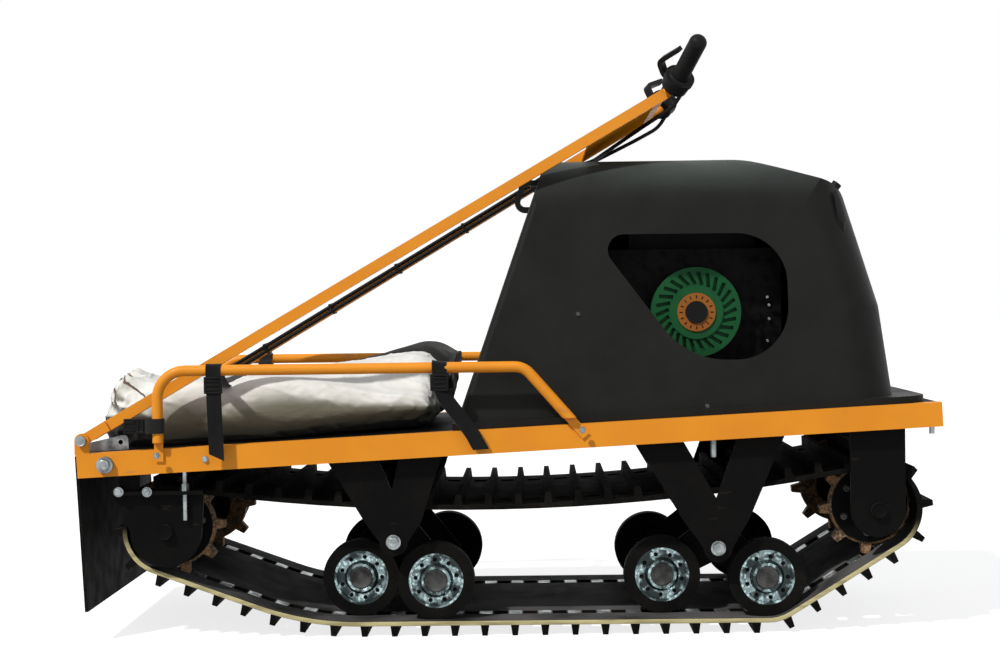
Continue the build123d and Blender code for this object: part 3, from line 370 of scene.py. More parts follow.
class WheelMetal(Metal):
    """Plated rims with dark dirt, painted shade on the frame side and painted sky glints."""

    clouds = (48.0, 5.0)
    levels = (0.44, 0.58)
    spread = (0.2, -0.05)
    grains = ((160.0, 4.0, 0.0006, 0.5),)
    # Painted shade: black for the wheel side that faces the frame, where its shadow falls
    frame_side_shade = (0.003, 0.003, 0.003)

    def dress(self, graph: Graph, cloud: Socket) -> Socket:
        """Show plating through the dirt with painted glints, and paint frame shade inward."""
        # Painted reflection: cyan-white glints in the bright patches, over clean plating
        painted_glints = graph.band(graph.noise(210.0, 3.0), 0.46, 0.62)
        share = graph.product(cloud, graph.math("MAXIMUM", painted_glints, 0.35))
        outward = graph.product(graph.math("SIGN", graph.axis("Y")), graph.axis("Y", "Normal"))
        # Painted shade mask: one on the side of a wheel that faces the frame
        inward = graph.band(outward, 0.05, -0.25)
        return graph.mix(inward, graph.mix(share, self.base, self.second), self.frame_side_shade)


class Rust(Finish):
    """Steel that ran bare in the wet: brown with orange bloom."""

    metallic = 0.25
    clouds = (70.0, 6.0)
    levels = (0.35, 0.65)
    bare = (0.62, 0.5, 0.38)

    def dress(self, graph: Graph, cloud: Socket) -> Socket:
        """Add raised bare spots."""
        spots = graph.band(graph.noise(260.0, 4.0), 0.45, 0.7)
        graph.bump(spots, 0.0006, 0.6)
        colour = graph.mix(cloud, self.base, self.second)
        return graph.mix(graph.product(spots, 0.5), colour, self.bare)


class Rubber(Finish):
    """Moulded rubber, greyed by dust."""

    clouds = (30.0, 5.0)
    spread = (-0.08, 0.12)
    grains = ((650.0, 4.0, 0.0004, 0.5),)


class TrackRubber(Rubber):
    """Track rubber, paler where the inside of its lower run faces up, whose cut belt edge shows its
    pale cord layers.
    """

    edge_place = 0.2502
    edge_pale = (0.56, 0.50, 0.27)
    edge_dull = (0.32, 0.28, 0.15)
    inner_pale = (0.10, 0.098, 0.10)

    def dress(self, graph: Graph, cloud: Socket) -> Socket:
        """Add the pale edge and the paler up-facing inside."""
        across = graph.math("ABSOLUTE", graph.axis("Y"))
        edge = graph.product(graph.math("GREATER_THAN", across, self.edge_place),
                             graph.band(graph.axis("Z"), 0.19, 0.14))
        # Paler where the inside of the lower run faces up
        inner = graph.product(graph.band(graph.axis("Z", "Normal"), 0.2, 0.6),
                              graph.band(graph.axis("Z"), 0.21, 0.15),
                              graph.band(graph.noise(8.0, 4.0), 0.2, 0.7))
        colour = graph.mix(inner, super().dress(graph, cloud), self.inner_pale)
        cords = graph.band(graph.noise(45.0, 6.0, (0.35, 1.0, 2.5)), 0.35, 0.7)
        return graph.mix(edge, colour, graph.mix(cords, self.edge_pale, self.edge_dull))


class Plastic(Finish):
    """Moulded plastic with a fine grain."""

    spread = (-0.06, 0.1)
    grains = ((1400.0, 2.0, 0.0003, 0.4),)


class HoodPlastic(Plastic):
    """Moulded hood plastic, with a painted sheen that makes it paler where it faces the sky."""

    spread = (-0.1, 0.08)
    grains = ((1400.0, 2.0, 0.0003, 0.35), (6.0, 2.0, 0.004, 0.12))
    # Painted sheen: the paler colour of the upward-facing top of the hood
    painted_top_sheen = (0.050, 0.060, 0.056)

    def dress(self, graph: Graph, cloud: Socket) -> Socket:
        """Paint a paler sheen on the top, in streaks."""
        streaks = graph.band(graph.noise(7.0, 5.0, (0.4, 1.0, 1.0)), 0.25, 0.7)
        # Painted sheen mask: the hood's top where it faces up, in streaks
        share = graph.product(graph.band(graph.axis("Z", "Normal"), 0.25, 0.95),
                              graph.band(graph.axis("Z"), 0.66, 0.76),
                              graph.math("MAXIMUM", streaks, 0.55))
        colour = graph.mix(cloud, self.base, self.second)
        return self.with_dust(graph, graph.mix(share, colour, self.painted_top_sheen))


class BagCloth(Finish):
    """Bag cloth: white top, painted side and fold shade, black bottom panel with painted shade."""

    clouds = (16.0, 5.0)
    levels = (0.35, 0.75)
    grains = ((42.0, 4.0, (0.6, 1.0, 1.4), 0.004, 0.45),)
    # Painted shade with a dirty olive tint, for the sides that turn away from the sky
    painted_side_shade = (0.15, 0.15, 0.112)
    # Black of the bottom panel, with painted shade underneath and low at the tail
    under = (0.012, 0.012, 0.012)
    # Painted shade in the folds of the tail, dark brown
    crease_shade = (0.075, 0.042, 0.026)
    tail_place = -0.60
    tail_levels = (0.378, 0.368)
    creases = ((1.0, 0.3, -0.547, 0.386, 0.456), (0.7, 1.0, -0.022, 0.400, 0.442))
    crease_end = 0.006

    def fold(self, graph: Graph, across: float, up: float, offset: float,
             lowest: float, highest: float) -> Socket:
        """A painted shadow line in a fold of the tail, along a wavy slanted line.

        Args:
            graph: The material in making.
            across: Share of X in the line.
            up: Share of Z in the line.
            offset: Sum of both on the line, in metres.
            lowest: Where the fold ends below.
            highest: Where it ends above.

        Returns:
            One on the fold.
        """
        rise = graph.axis("Z")
        place = graph.math("ADD", graph.product(graph.axis("X"), across), graph.product(rise, up))
        away = graph.math("ADD", graph.math("SUBTRACT", place, offset),
                          graph.wobble(30.0, 2.0, 0.022))
        end = self.crease_end
        return graph.product(graph.band(graph.math("ABSOLUTE", away), 0.0038, 0.0012),
                             graph.product(graph.band(rise, lowest - end, lowest + end),
                                           graph.band(rise, highest + end, highest - end)))

    def dress(self, graph: Graph, cloud: Socket) -> Socket:
        """Paint shade on the sides and folds, and blacken the bottom with painted shade."""
        up = graph.axis("Z", "Normal")
        blotch = graph.wobble(11.0, 4.0, 0.5)
        # Painted shade: the sides darken as they turn away from facing up
        level = graph.band(graph.math("ADD", up, blotch), -0.05, 0.75)
        colour = graph.mix(level, self.painted_side_shade, graph.mix(cloud, self.base, self.second))
        height = graph.math("ADD", graph.axis("Z"), graph.product(blotch, 0.05))
        rear = graph.product(graph.band(graph.axis("X"), self.tail_place + 0.02, self.tail_place),
                             graph.band(height, *self.tail_levels))
        # Black bottom and painted shade: what faces down, and the low rear of the tail
        below = graph.math("MAXIMUM", graph.band(up, -0.7, -0.88), rear)
        colour = graph.mix(below, colour, self.under)
        # Painted shade along the tail's folds
        for line in self.creases:
            colour = graph.mix(self.fold(graph, *line), colour, self.crease_shade)
        graph.weave(240.0, 0.00025, 0.25, 0.08)
        return colour


class Fabric(Finish):
    """Woven webbing."""

    clouds = (14.0, 5.0)
    levels = (0.35, 0.75)

    def dress(self, graph: Graph, cloud: Socket) -> Socket:
        """Add the weave."""
        graph.weave(220.0, 0.0003, 0.3, 0.15)
        return super().dress(graph, cloud)


FINISHES = (
    Paint("frame_orange", (0.78, 0.285, 0.015), (0.72, 0.25, 0.012), 0.42, 0.04, 0.22),
    Paint("console_orange", (0.80, 0.29, 0.015), (0.72, 0.25, 0.012), 0.9, 0.0, 0.0),
    Paint("black_steel", (0.0028, 0.0026, 0.0027), (0.0042, 0.004, 0.004), 0.5, 0.012, 0.04),
    Metal("zinc", (0.36, 0.39, 0.40), (0.14, 0.155, 0.16), 0.36),
    WheelMetal("zinc_wheel", (0.035, 0.045, 0.047), (0.50, 0.66, 0.68), 0.3),
    Metal("shaft_steel", (0.07, 0.07, 0.07), (0.03, 0.03, 0.03), 0.5, 0.03),
    Rust("sprocket_brown", (0.06, 0.035, 0.016), (0.28, 0.14, 0.05), 0.75),
    TrackRubber("track_rubber", (0.003, 0.003, 0.003), (0.007, 0.0068, 0.0065), 0.8, 0.05, 0.03),
    Rubber("wheel_rubber", (0.0028, 0.0028, 0.0028), (0.007, 0.0068, 0.0065), 0.75, 0.03, 0.05),
    Rubber("flap_rubber", (0.003, 0.003, 0.0031), (0.006, 0.006, 0.006), 0.7, 0.03, 0.05),
    HoodPlastic("hood_plastic", (0.0075, 0.0076, 0.0072), (0.011, 0.0115, 0.0108), 0.5, 0.01, 0.09),
    Plastic("black_plastic", (0.0045, 0.0045, 0.0045), (0.008, 0.008, 0.008), 0.5, 0.0, 0.1),
    Plastic("starter_green", (0.007, 0.085, 0.026), (0.005, 0.05, 0.016), 0.5, 0.02, 0.12),
    Plastic("starter_orange", (0.30, 0.105, 0.018), (0.25, 0.080, 0.013), 0.5, 0.02, 0.12),
    Metal("engine_metal", (0.003, 0.003, 0.003), (0.012, 0.012, 0.012), 0.6, 0.01),
    BagCloth("bag_fabric", (0.78, 0.78, 0.76), (0.64, 0.64, 0.60), 0.6, 0.0, 0.3),
    Fabric("strap_webbing", (0.006, 0.006, 0.0065), (0.016, 0.016, 0.016), 0.8, 0.02, 0.06),
    Rubber("grip_rubber", (0.005, 0.005, 0.0052), (0.010, 0.010, 0.010), 0.6, 0.02, 0.12),
)

# Nodes whose surface is a variant of their slot's finish
VARIANTS = {"tiller_console": "console_orange", "wheel_rims": "zinc_wheel"}


class Workshop:
    """Holds the finishes and gives the machine's pieces their materials."""

    def __init__(self) -> None:
        """Make every finish once."""
        self.materials = {finish.name: finish.build() for finish in FINISHES}
        self.slots = {row["node"]: row["material_slot"] for row in frame["record"]["subparts"]}

    def dress_nodes(self) -> None:
        """Give every carried-over piece its finish."""
        for name, node in frame["nodes"].items():
            node.data.materials.clear()
            node.data.materials.append(self.materials[VARIANTS.get(name, self.slots[name])])


class Bench:
    """A bench where pieces are modelled with Blender's own operators.

    Args:
        workshop: Where the finishes come from.
    """

    def __init__(self, workshop: Workshop) -> None:
        """Set up the bench."""
        self.workshop = workshop
        self.count = 0

    @staticmethod
    def clear() -> None:
        """Deselect everything."""
        bpy.ops.object.select_all(action="DESELECT")

    def choose(self, *pieces: Piece) -> None:
        """Select some pieces only, with the first one active."""
        self.clear()
        for piece in pieces:
            piece.select_set(True)
        bpy.context.view_layer.objects.active = pieces[0]

    def open(self, piece: Piece, test: Callable[[bpy.types.MeshPolygon], bool]) -> None:
        """Enter edit mode with some faces selected.

        Args:
            piece: The piece to edit.
            test: Says of a face whether it is selected.
        """
        self.choose(piece)
        mesh = piece.data
        for items in (mesh.vertices, mesh.edges):
            items.foreach_set("select", [False] * len(items))
        mesh.polygons.foreach_set("select", [bool(test(face)) for face in mesh.polygons])
        bpy.context.tool_settings.mesh_select_mode = (False, False, True)
        bpy.ops.object.mode_set(mode="EDIT")

    @staticmethod
    def close() -> None:
        """Leave edit mode."""
        bpy.ops.object.mode_set(mode="OBJECT")

    def inset(self, piece: Piece, test: Callable[[bpy.types.MeshPolygon], bool],
              *steps: tuple[float, float], single: bool = False) -> None:
        """Inset some faces of a piece, step by step.

        Args:
            piece: The piece.
            test: Says of a face whether it is inset.
            steps: Thickness and depth of each inset.
            single: Whether each face is inset on its own.
        """
        self.open(piece, test)
        for thickness, depth in steps:
            bpy.ops.mesh.inset(thickness=thickness, depth=depth, use_individual=single)
        self.close()

    def modify(self, piece: Piece, kind: str, **settings: object) -> None:
        """Give a piece a modifier and apply it.

        Args:
            piece: The piece.
            kind: The modifier's type.
            settings: Its own properties.
        """
        self.choose(piece)
        modifier = piece.modifiers.new(kind, kind)
        for name, value in settings.items():
            setattr(modifier, name, value)
        bpy.ops.object.modifier_apply(modifier=modifier.name)

    def bevel(self, piece: Piece, width: float, segments: int = 2) -> None:
        """Round the sharp edges of a piece."""
        self.modify(piece, "BEVEL", width=width, segments=segments, limit_method="ANGLE",
                    angle_limit=math.radians(40.0))

    def apply(self, piece: Piece) -> Piece:
        """Put a piece's place and scale into its mesh, and return it."""
        self.choose(piece)
        bpy.ops.object.transform_apply(location=True, rotation=True, scale=True)
        return piece

    def cylinder(self, radius: float, depth: float, sides: int = 24, rise: float = 0.0) -> Piece:
        """A round blank that stands on its base.

        Args:
            radius: Its radius.
            depth: Its height.
            sides: Number of sides.
            rise: Height of its base.

        Returns:
            The blank.
        """
        self.clear()
        bpy.ops.mesh.primitive_cylinder_add(
            vertices=sides, radius=radius, depth=depth, location=(0.0, 0.0, rise + depth / 2))
        return self.apply(bpy.context.object)

    def block(self, size: Triple, rounding: float, place: Triple = (0.0, 0.0, 0.0),
              segments: int = 2) -> Piece:
        """A square blank.

        Args:
            size: Its length, width and height.
            rounding: Width of its rounded edges, or zero.
            place: Its middle.
            segments: Steps across a rounding.

        Returns:
            The blank.
        """
        self.clear()
        bpy.ops.mesh.primitive_cube_add(size=1.0, location=place)
        blank = bpy.context.object
        blank.scale = size
        self.apply(blank)
        if rounding:
            self.bevel(blank, rounding, segments)
        return blank

    def lump(self, cuts: int) -> Piece:
        """A cube from minus one to one with every side cut evenly.

        Args:
            cuts: Cuts of each side.

        Returns:
            The cube.
        """
        self.clear()
        bpy.ops.mesh.primitive_cube_add(size=2.0)
        cube = bpy.context.object
        self.open(cube, lambda face: True)
        bpy.ops.mesh.subdivide(number_cuts=cuts)
        self.close()
        return cube

    def grid(self, columns: int, rows: int) -> Piece:
        """A flat net of a number of columns and rows of faces."""
        self.clear()
        bpy.ops.mesh.primitive_grid_add(x_subdivisions=columns, y_subdivisions=rows, size=1.0)
        return bpy.context.object

    def join(self, pieces: list[Piece]) -> Piece:
        """Make one piece of several, and return it."""
        self.choose(*pieces)
        if len(pieces) > 1:
            bpy.ops.object.join()
        return pieces[0]

    def repeat(self, model: Piece, places: Iterable[Matrix]) -> Piece:
        """Copy a modelled piece to several places, as one piece.

        Args:
            model: The piece that is modelled once.
            places: Where each copy goes.

        Returns:
            The joined copies.
        """
        copies = []
        for place in places:
            copy = model.copy()
            copy.data = model.data.copy()
            copy.matrix_world = place
            bpy.context.scene.collection.objects.link(copy)
            copies.append(copy)
        bpy.data.objects.remove(model)
        return self.apply(self.join(copies))

    def thicken(self, node: str, name: str, growth: float, body: Body = Body.CHASSIS) -> None:
        """Put a thicker black copy of a node in its place.

        Args:
            node: The node's name.
            name: The copy's name.
            growth: How far its surface moves out, in metres.
            body: The body it belongs to.
        """
        thin = frame["nodes"][node]
        piece = thin.copy()
        piece.data = thin.data.copy()
        bpy.context.scene.collection.objects.link(piece)
        self.open(piece, lambda face: True)
        bpy.ops.mesh.remove_doubles(threshold=0.00002)
        bpy.ops.transform.shrink_fatten(value=growth)
        self.close()
        for key in list(piece.keys()):
            del piece[key]
        self.finish(piece, name, "black_plastic", body)
        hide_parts(node)

    def finish(self, piece: Piece, name: str, slot: str, body: Body = Body.CHASSIS) -> Piece:
        """Name a piece, give it its finish and let it ride.

        Args:
            piece: The piece.
            name: Its plain name.
            slot: The record's material slot.
            body: The body that it rides on.

        Returns:
            The piece.
        """
        self.choose(piece)
        bpy.ops.object.shade_smooth_by_angle(angle=math.radians(38.0))
        piece.name = name
        piece.data.materials.clear()
        piece.data.materials.append(self.workshop.materials[slot])
        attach(piece, body.value)
        self.count += 1
        return piece


@dataclass(frozen=True)
class Dress:
    """A group of pieces of the picture.

    Args:
        bench: The bench to model them on.
    """

    bench: Bench


@dataclass(frozen=True)
class Hardware(Dress):
    """Bolts, washers and caps of the machine, in metres, with their places in millimetres.

    Args:
        washer_thickness: Thickness of a washer.
        chamfer: Chamfer of a hexagon head, as a share of its width.
        disc_ring: Radius of the circle of bolts on a sprocket's disc.
    """

    washer_thickness: float = 0.0016
    chamfer: float = 0.13
    disc_ring: float = 48.0

    def bolt(self, across: float, height: float, washer: float) -> Piece:
        """Model one hexagon bolt head on its washer.

        Args:
            across: Width of the hexagon.
            height: Height of the head.
            washer: Radius of the washer.

        Returns:
            The bolt, pointing up.
        """
        ring = self.bench.cylinder(washer, self.washer_thickness)
        self.bench.bevel(ring, self.washer_thickness * 0.3, 1)
        head = self.bench.cylinder(across / math.sqrt(3.0), height, 6, self.washer_thickness)
        self.bench.inset(
            head, lambda face: face.normal.z > 0.9,
            (across * self.chamfer, across * self.chamfer * 0.5), (across * 0.08, 0.0),
            (across * 0.04, -across * 0.03))
        return self.bench.join([ring, head])

    def cap(self, radius: float, height: float, dish: float) -> Piece:
        """Model one round cap with a raised rim and a dished middle.

        Args:
            radius: Radius of the cap.
            height: Its height.
            dish: Depth of its middle.

        Returns:
            The cap, pointing up.
        """
        cap = self.bench.cylinder(radius, height, 32)
        self.bench.inset(cap, lambda face: face.normal.z > 0.9, (radius * 0.12, 0.0),
                         (radius * 0.06, -dish), (radius * 0.45, dish * 0.3))
        self.bench.bevel(cap, height * 0.15, 1)
        return cap

    @staticmethod
    def both_sides(rows: Iterable[Triple], turn: float = 0.3) -> list[Matrix]:
        """Places on both sides of the machine, facing outwards.

        Args:
            rows: Each place as x, distance from the middle and z, in millimetres.
            turn: Turn of the heads.

        Returns:
            The places.
        """
        return [
            facing_place(Vector((x, side * y, z)) / 1000.0, Vector((0.0, side, 0.0)),
                         turn * (number + 1))
            for side in SIDES for number, (x, y, z) in enumerate(rows)
        ]

    def build(self) -> None:
        """Model every group of fasteners."""
        discs = []
        for x, z, start in ((620.6, 205.8, 0.42), (-565.5, 182.1, 0.2)):
            for turn in (start + number * math.pi / 3.0 for number in range(6)):
                discs.append((x + self.disc_ring * math.cos(turn), 184.0,
                              z + self.disc_ring * math.sin(turn)))
        groups = (
            ("disc_bolts", "shaft_steel", self.bolt, (0.009, 0.005, 0.0066), 0.3, discs),
            ("plate_bolts", "zinc", self.bolt, (0.010, 0.005, 0.0085), 0.3, (
                (-640.5, 279.0, 251.0), (-593.0, 279.0, 250.5), (590.0, 265.0, 345.0),
                (616.0, 265.0, 346.5), (642.0, 265.0, 348.0))),
            ("bogie_pivot_nuts", "zinc", self.bolt, (0.017, 0.007, 0.0125), 0.5, (
                (-184.9, 269.0, 161.0), (355.0, 269.0, 145.0))),
            ("shaft_end_caps", "black_steel", self.cap, (0.0125, 0.002, 0.001), 0.3, (
                (620.6, 274.0, 205.8), (-565.5, 274.0, 182.1))),
            ("tow_bar_bolts", "zinc", self.bolt, (0.017, 0.007, 0.0137), 0.3, (
                (-659.0, 297.0, 297.5),)),
            ("side_rail_bolts", "zinc", self.bolt, (0.007, 0.003, 0.0055), 0.3, (
                (-569.5, 308.0, 313.0), (-493.0, 290.0, 305.0), (131.0, 306.5, 347.0))),
            ("hanger_bolts", "black_steel", self.bolt, (0.009, 0.004, 0.007), 0.3, (
                (-232.0, 265.0, 312.0), (-150.0, 265.0, 314.0), (300.0, 265.0, 338.0),
                (410.0, 265.0, 342.0))),
            ("tiller_pin_caps", "zinc", self.cap, (0.0088, 0.0032, 0.0008), 0.3, (
                (-698.0, 296.0, 337.7),)),
        )
        for name, slot, make, sizes, turn, rows in groups:
            piece = self.bench.repeat(make(*sizes), self.both_sides(rows, turn))
            body = Body.TILLER if name.startswith("tiller") else Body.CHASSIS
            self.bench.finish(piece, name, slot, body)

        flap = [facing_place(Vector((-0.7128, y, 0.286)), Vector((-1.0, 0.0, 0.0)), 0.4)
                for y in (-0.235, -0.08, 0.08, 0.235)]
        hood = [on_node("engine_hood", Vector((x, side * 0.4, z)), Vector((0.0, -side, 0.0)))
                for side in SIDES for x, z in ((0.1278, 0.5365), (0.340, 0.381))]
        engine = [on_node("engine_block", Vector((x, -0.5, z)), Vector((0.0, 1.0, 0.0)))
                  for x, z in ((0.458, 0.561), (0.461, 0.547), (0.461, 0.523), (0.458, 0.485))]
        for name, slot, make, sizes, places in (
                ("mudflap_bolts", "zinc", self.bolt, (0.010, 0.004, 0.010), flap),
                ("hood_screws", "shaft_steel", self.cap, (0.0042, 0.0020, 0.0008), hood),
                ("engine_bolts", "zinc", self.bolt, (0.0045, 0.003, 0.0030), engine)):
            self.bench.finish(self.bench.repeat(make(*sizes), places), name, slot)


@dataclass(frozen=True)
class WheelDress(Dress):
    """Hub rings, caps and painted-shade black discs for the wheels' web holes, in millimetres.

    Args:
        height: Height of the axles.
        hole_ring: Radius on which the web's holes lie.
        hole_count: Number of holes in a web.
        web_sink: How far the web lies behind the wheel's face.
        wheels: Each wheel's place along the machine and its face's distance from the middle.
    """

    height: float = 90.8
    hole_ring: float = 35.0
    hole_count: int = 9
    web_sink: float = 7.0
    wheels: tuple[tuple[float, float], ...] = (
        (-246.8, 191.0), (-116.6, 235.0), (266.3, 191.0), (439.8, 235.0))

    def build(self) -> None:
        """Model one of each and copy it to every wheel."""
        bench, hardware = self.bench, Hardware(self.bench)
        faces = hardware.both_sides([(x, y, self.height) for x, y in self.wheels])
        cap = hardware.cap(0.0185, 0.0022, 0.0008)
        bench.finish(bench.repeat(cap, faces), "wheel_hub_caps", "shaft_steel")

        ring = bench.cylinder(0.0245, 0.0016, 40)
        bench.inset(ring, lambda face: face.normal.z > 0.9, (0.0045, 0.0), (0.0008, -0.0010))
        bench.bevel(ring, 0.0005)
        rings = bench.finish(bench.repeat(ring, faces), "wheel_hub_rings", "zinc")
        rings.data.materials[0] = bench.workshop.materials["zinc_wheel"]

        # Painted shade: each web hole is a shallow black disc for the dark seen through it
        hole = bench.cylinder(0.0036, 0.0006, 14)
        bench.inset(hole, lambda face: face.normal.z > 0.9, (0.0007, 0.0), (0.0003, -0.0005))
        rows = []
        for number, (x, y) in enumerate(self.wheels):
            for step in range(self.hole_count):
                turn = 0.23 * number + step * 2.0 * math.pi / self.hole_count
                rows.append((x + self.hole_ring * math.cos(turn), y - self.web_sink,
                             self.height + self.hole_ring * math.sin(turn)))
        holes = bench.repeat(hole, hardware.both_sides(rows, 0.0))
        bench.finish(holes, "wheel_web_hole_shades", "black_steel")


@dataclass(frozen=True)
class TrackDress(Dress):
    """The belt's pale edges and the steel clips between its windows, in millimetres.

    Args:
        pitch_radius: Radius of the pitch line round a sprocket.
        half: Half the belt's thickness.
        floor: Height of the pitch line on the ground run.
        pitch: Length of one link.
        idler: Middle of the rear sprocket, as x and z.
        drive: Middle of the front sprocket.
        rear_wheel_x: Place of the rearmost wheel.
        front_wheel_x: Place of the foremost wheel.
        tail_rise: Radius of the belt's bend at the rearmost wheel.
        wheel_wrap: The same at the foremost wheel.
        sag: Radius of the slack upper run.
        row: Distance of the clips from the middle.
        arc_steps: Steps along each arc.
        edge_steps: Steps round the whole belt's edge.
    """

    pitch_radius: float = 72.337
    half: float = 4.0
    floor: float = 21.5
    pitch: float = 50.5
    idler: tuple[float, float] = (-565.5, 182.1)
    drive: tuple[float, float] = (620.6, 205.8)
    rear_wheel_x: float = -246.8
    front_wheel_x: float = 439.8
    tail_rise: float = 496.0
    wheel_wrap: float = 69.3
    sag: float = 3450.0
    row: float = 170.0
    arc_steps: int = 40
    edge_steps: int = 260

    def line(self) -> tuple[list[Vector], list[float]]:
        """Trace the belt's pitch line.

        Returns:
            Its points in x and z, closed, and the length up to each of them.
        """
        circles = (
            (self.idler, self.pitch_radius),
            ((self.rear_wheel_x, self.floor + self.tail_rise), self.tail_rise),
            ((self.front_wheel_x, self.floor + self.wheel_wrap), self.wheel_wrap),
            (self.drive, self.pitch_radius),
        )
        turns = []
        for ((ax, az), ar), ((bx, bz), br) in zip(circles, circles[1:]):
            lean = math.asin((ar - br) / math.hypot(bx - ax, bz - az))
            turns.append(math.atan2(bz - az, bx - ax) + lean - math.pi / 2)
        (tail_x, tail_z), (nose_x, nose_z) = self.idler, self.drive
        reach_x, reach_z = (nose_x - tail_x) / 2, (nose_z - tail_z) / 2
        half = math.hypot(reach_x, reach_z)
        rise = math.sqrt((self.sag + self.pitch_radius) ** 2 - half ** 2)
        top = (tail_x + reach_x - rise * reach_z / half, tail_z + reach_z + rise * reach_x / half)
        leave, meet = (math.atan2(top[1] - z, top[0] - x) for x, z in (self.drive, self.idler))
        starts = (meet, *turns, leave - math.pi)
        ends = (turns[0] + 2 * math.pi, *turns[1:], leave, meet - math.pi)
        points = []
        for ((x, z), radius), start, end in zip((*circles, (top, self.sag)), starts, ends):
            for number in range(self.arc_steps + 1):
                turn = start + (end - start) * number / self.arc_steps
                points.append(Vector((x + radius * math.cos(turn), z + radius * math.sin(turn))))
        points.append(points[0].copy())
        lengths = [0.0]
        for first, second in zip(points, points[1:]):
            lengths.append(lengths[-1] + (second - first).length)
        return points, lengths

    def walk(self, steps: int) -> list[tuple[Vector, Vector]]:
        """Walk round the belt's pitch line.

        Args:
            steps: Number of evenly spaced places.

        Returns:
            Each place and its heading, as vectors in x and z.
        """
        points, lengths = self.line()
        places, index = [], 0
        for step in range(steps):
            goal = lengths[-1] * step / steps
            while lengths[index + 1] < goal:
                index += 1
            along = points[index + 1] - points[index]
            share = (goal - lengths[index]) / max(along.length, 1e-6)
            places.append((points[index] + along * share, along.normalized()))
        return places

    def edges(self) -> None:
        """The pale cut edges of the belt, one on each side."""
        places = self.walk(self.edge_steps)
        strips = []
        for side in SIDES:
            strip = self.bench.grid(len(places), 2)
            for number, corner in enumerate(strip.data.vertices):
                row, column = divmod(number, len(places) + 1)
                place, along = places[column % len(places)]
                at = place + Vector((along.y, -along.x)) * (row - 1) * (self.half - 0.4)
                bulge = 0.0009 if row == 1 else 0.0003
                corner.co = Vector((at.x / 1000.0, side * (0.250 + bulge), at.y / 1000.0))
            strips.append(strip)
        self.bench.finish(self.bench.join(strips), "belt_edges", "track_rubber")

    def clips(self) -> None:
        """The thin steel clips round the belt between its windows."""
        links = round(self.line()[1][-1] / self.pitch)
        model = self.bench.block((0.022, 0.030, 0.0008), 0.0003, segments=1)
        spots = []
        for place, along in self.walk(links * 2)[1::2]:
            inward = Vector((-along.y, along.x))
            at = place + inward * (self.half - 0.15)
            axis = Vector((inward.x, 0.0, inward.y))
            ahead = Vector((along.x, 0.0, along.y))
            turn = Matrix((ahead, axis.cross(ahead), axis)).transposed().to_4x4()
            for side in SIDES:
                spot = Vector((at.x, side * self.row, at.y)) / 1000.0
                spots.append(Matrix.Translation(spot) @ turn)
        self.bench.finish(self.bench.repeat(model, spots), "belt_clips", "zinc")

    def build(self) -> None:
        """Model the belt's edges and clips."""
        self.edges()
        self.clips()


def bag_top(bag: Piece, x: float, y: float, otherwise: float) -> float:
    """Height of the bag's top at a place, or another height where there is no bag."""
    hit, place, _, _ = bag.ray_cast(Vector((x, y, ABOVE_DECK)), DOWN)
    return place.z if hit else otherwise


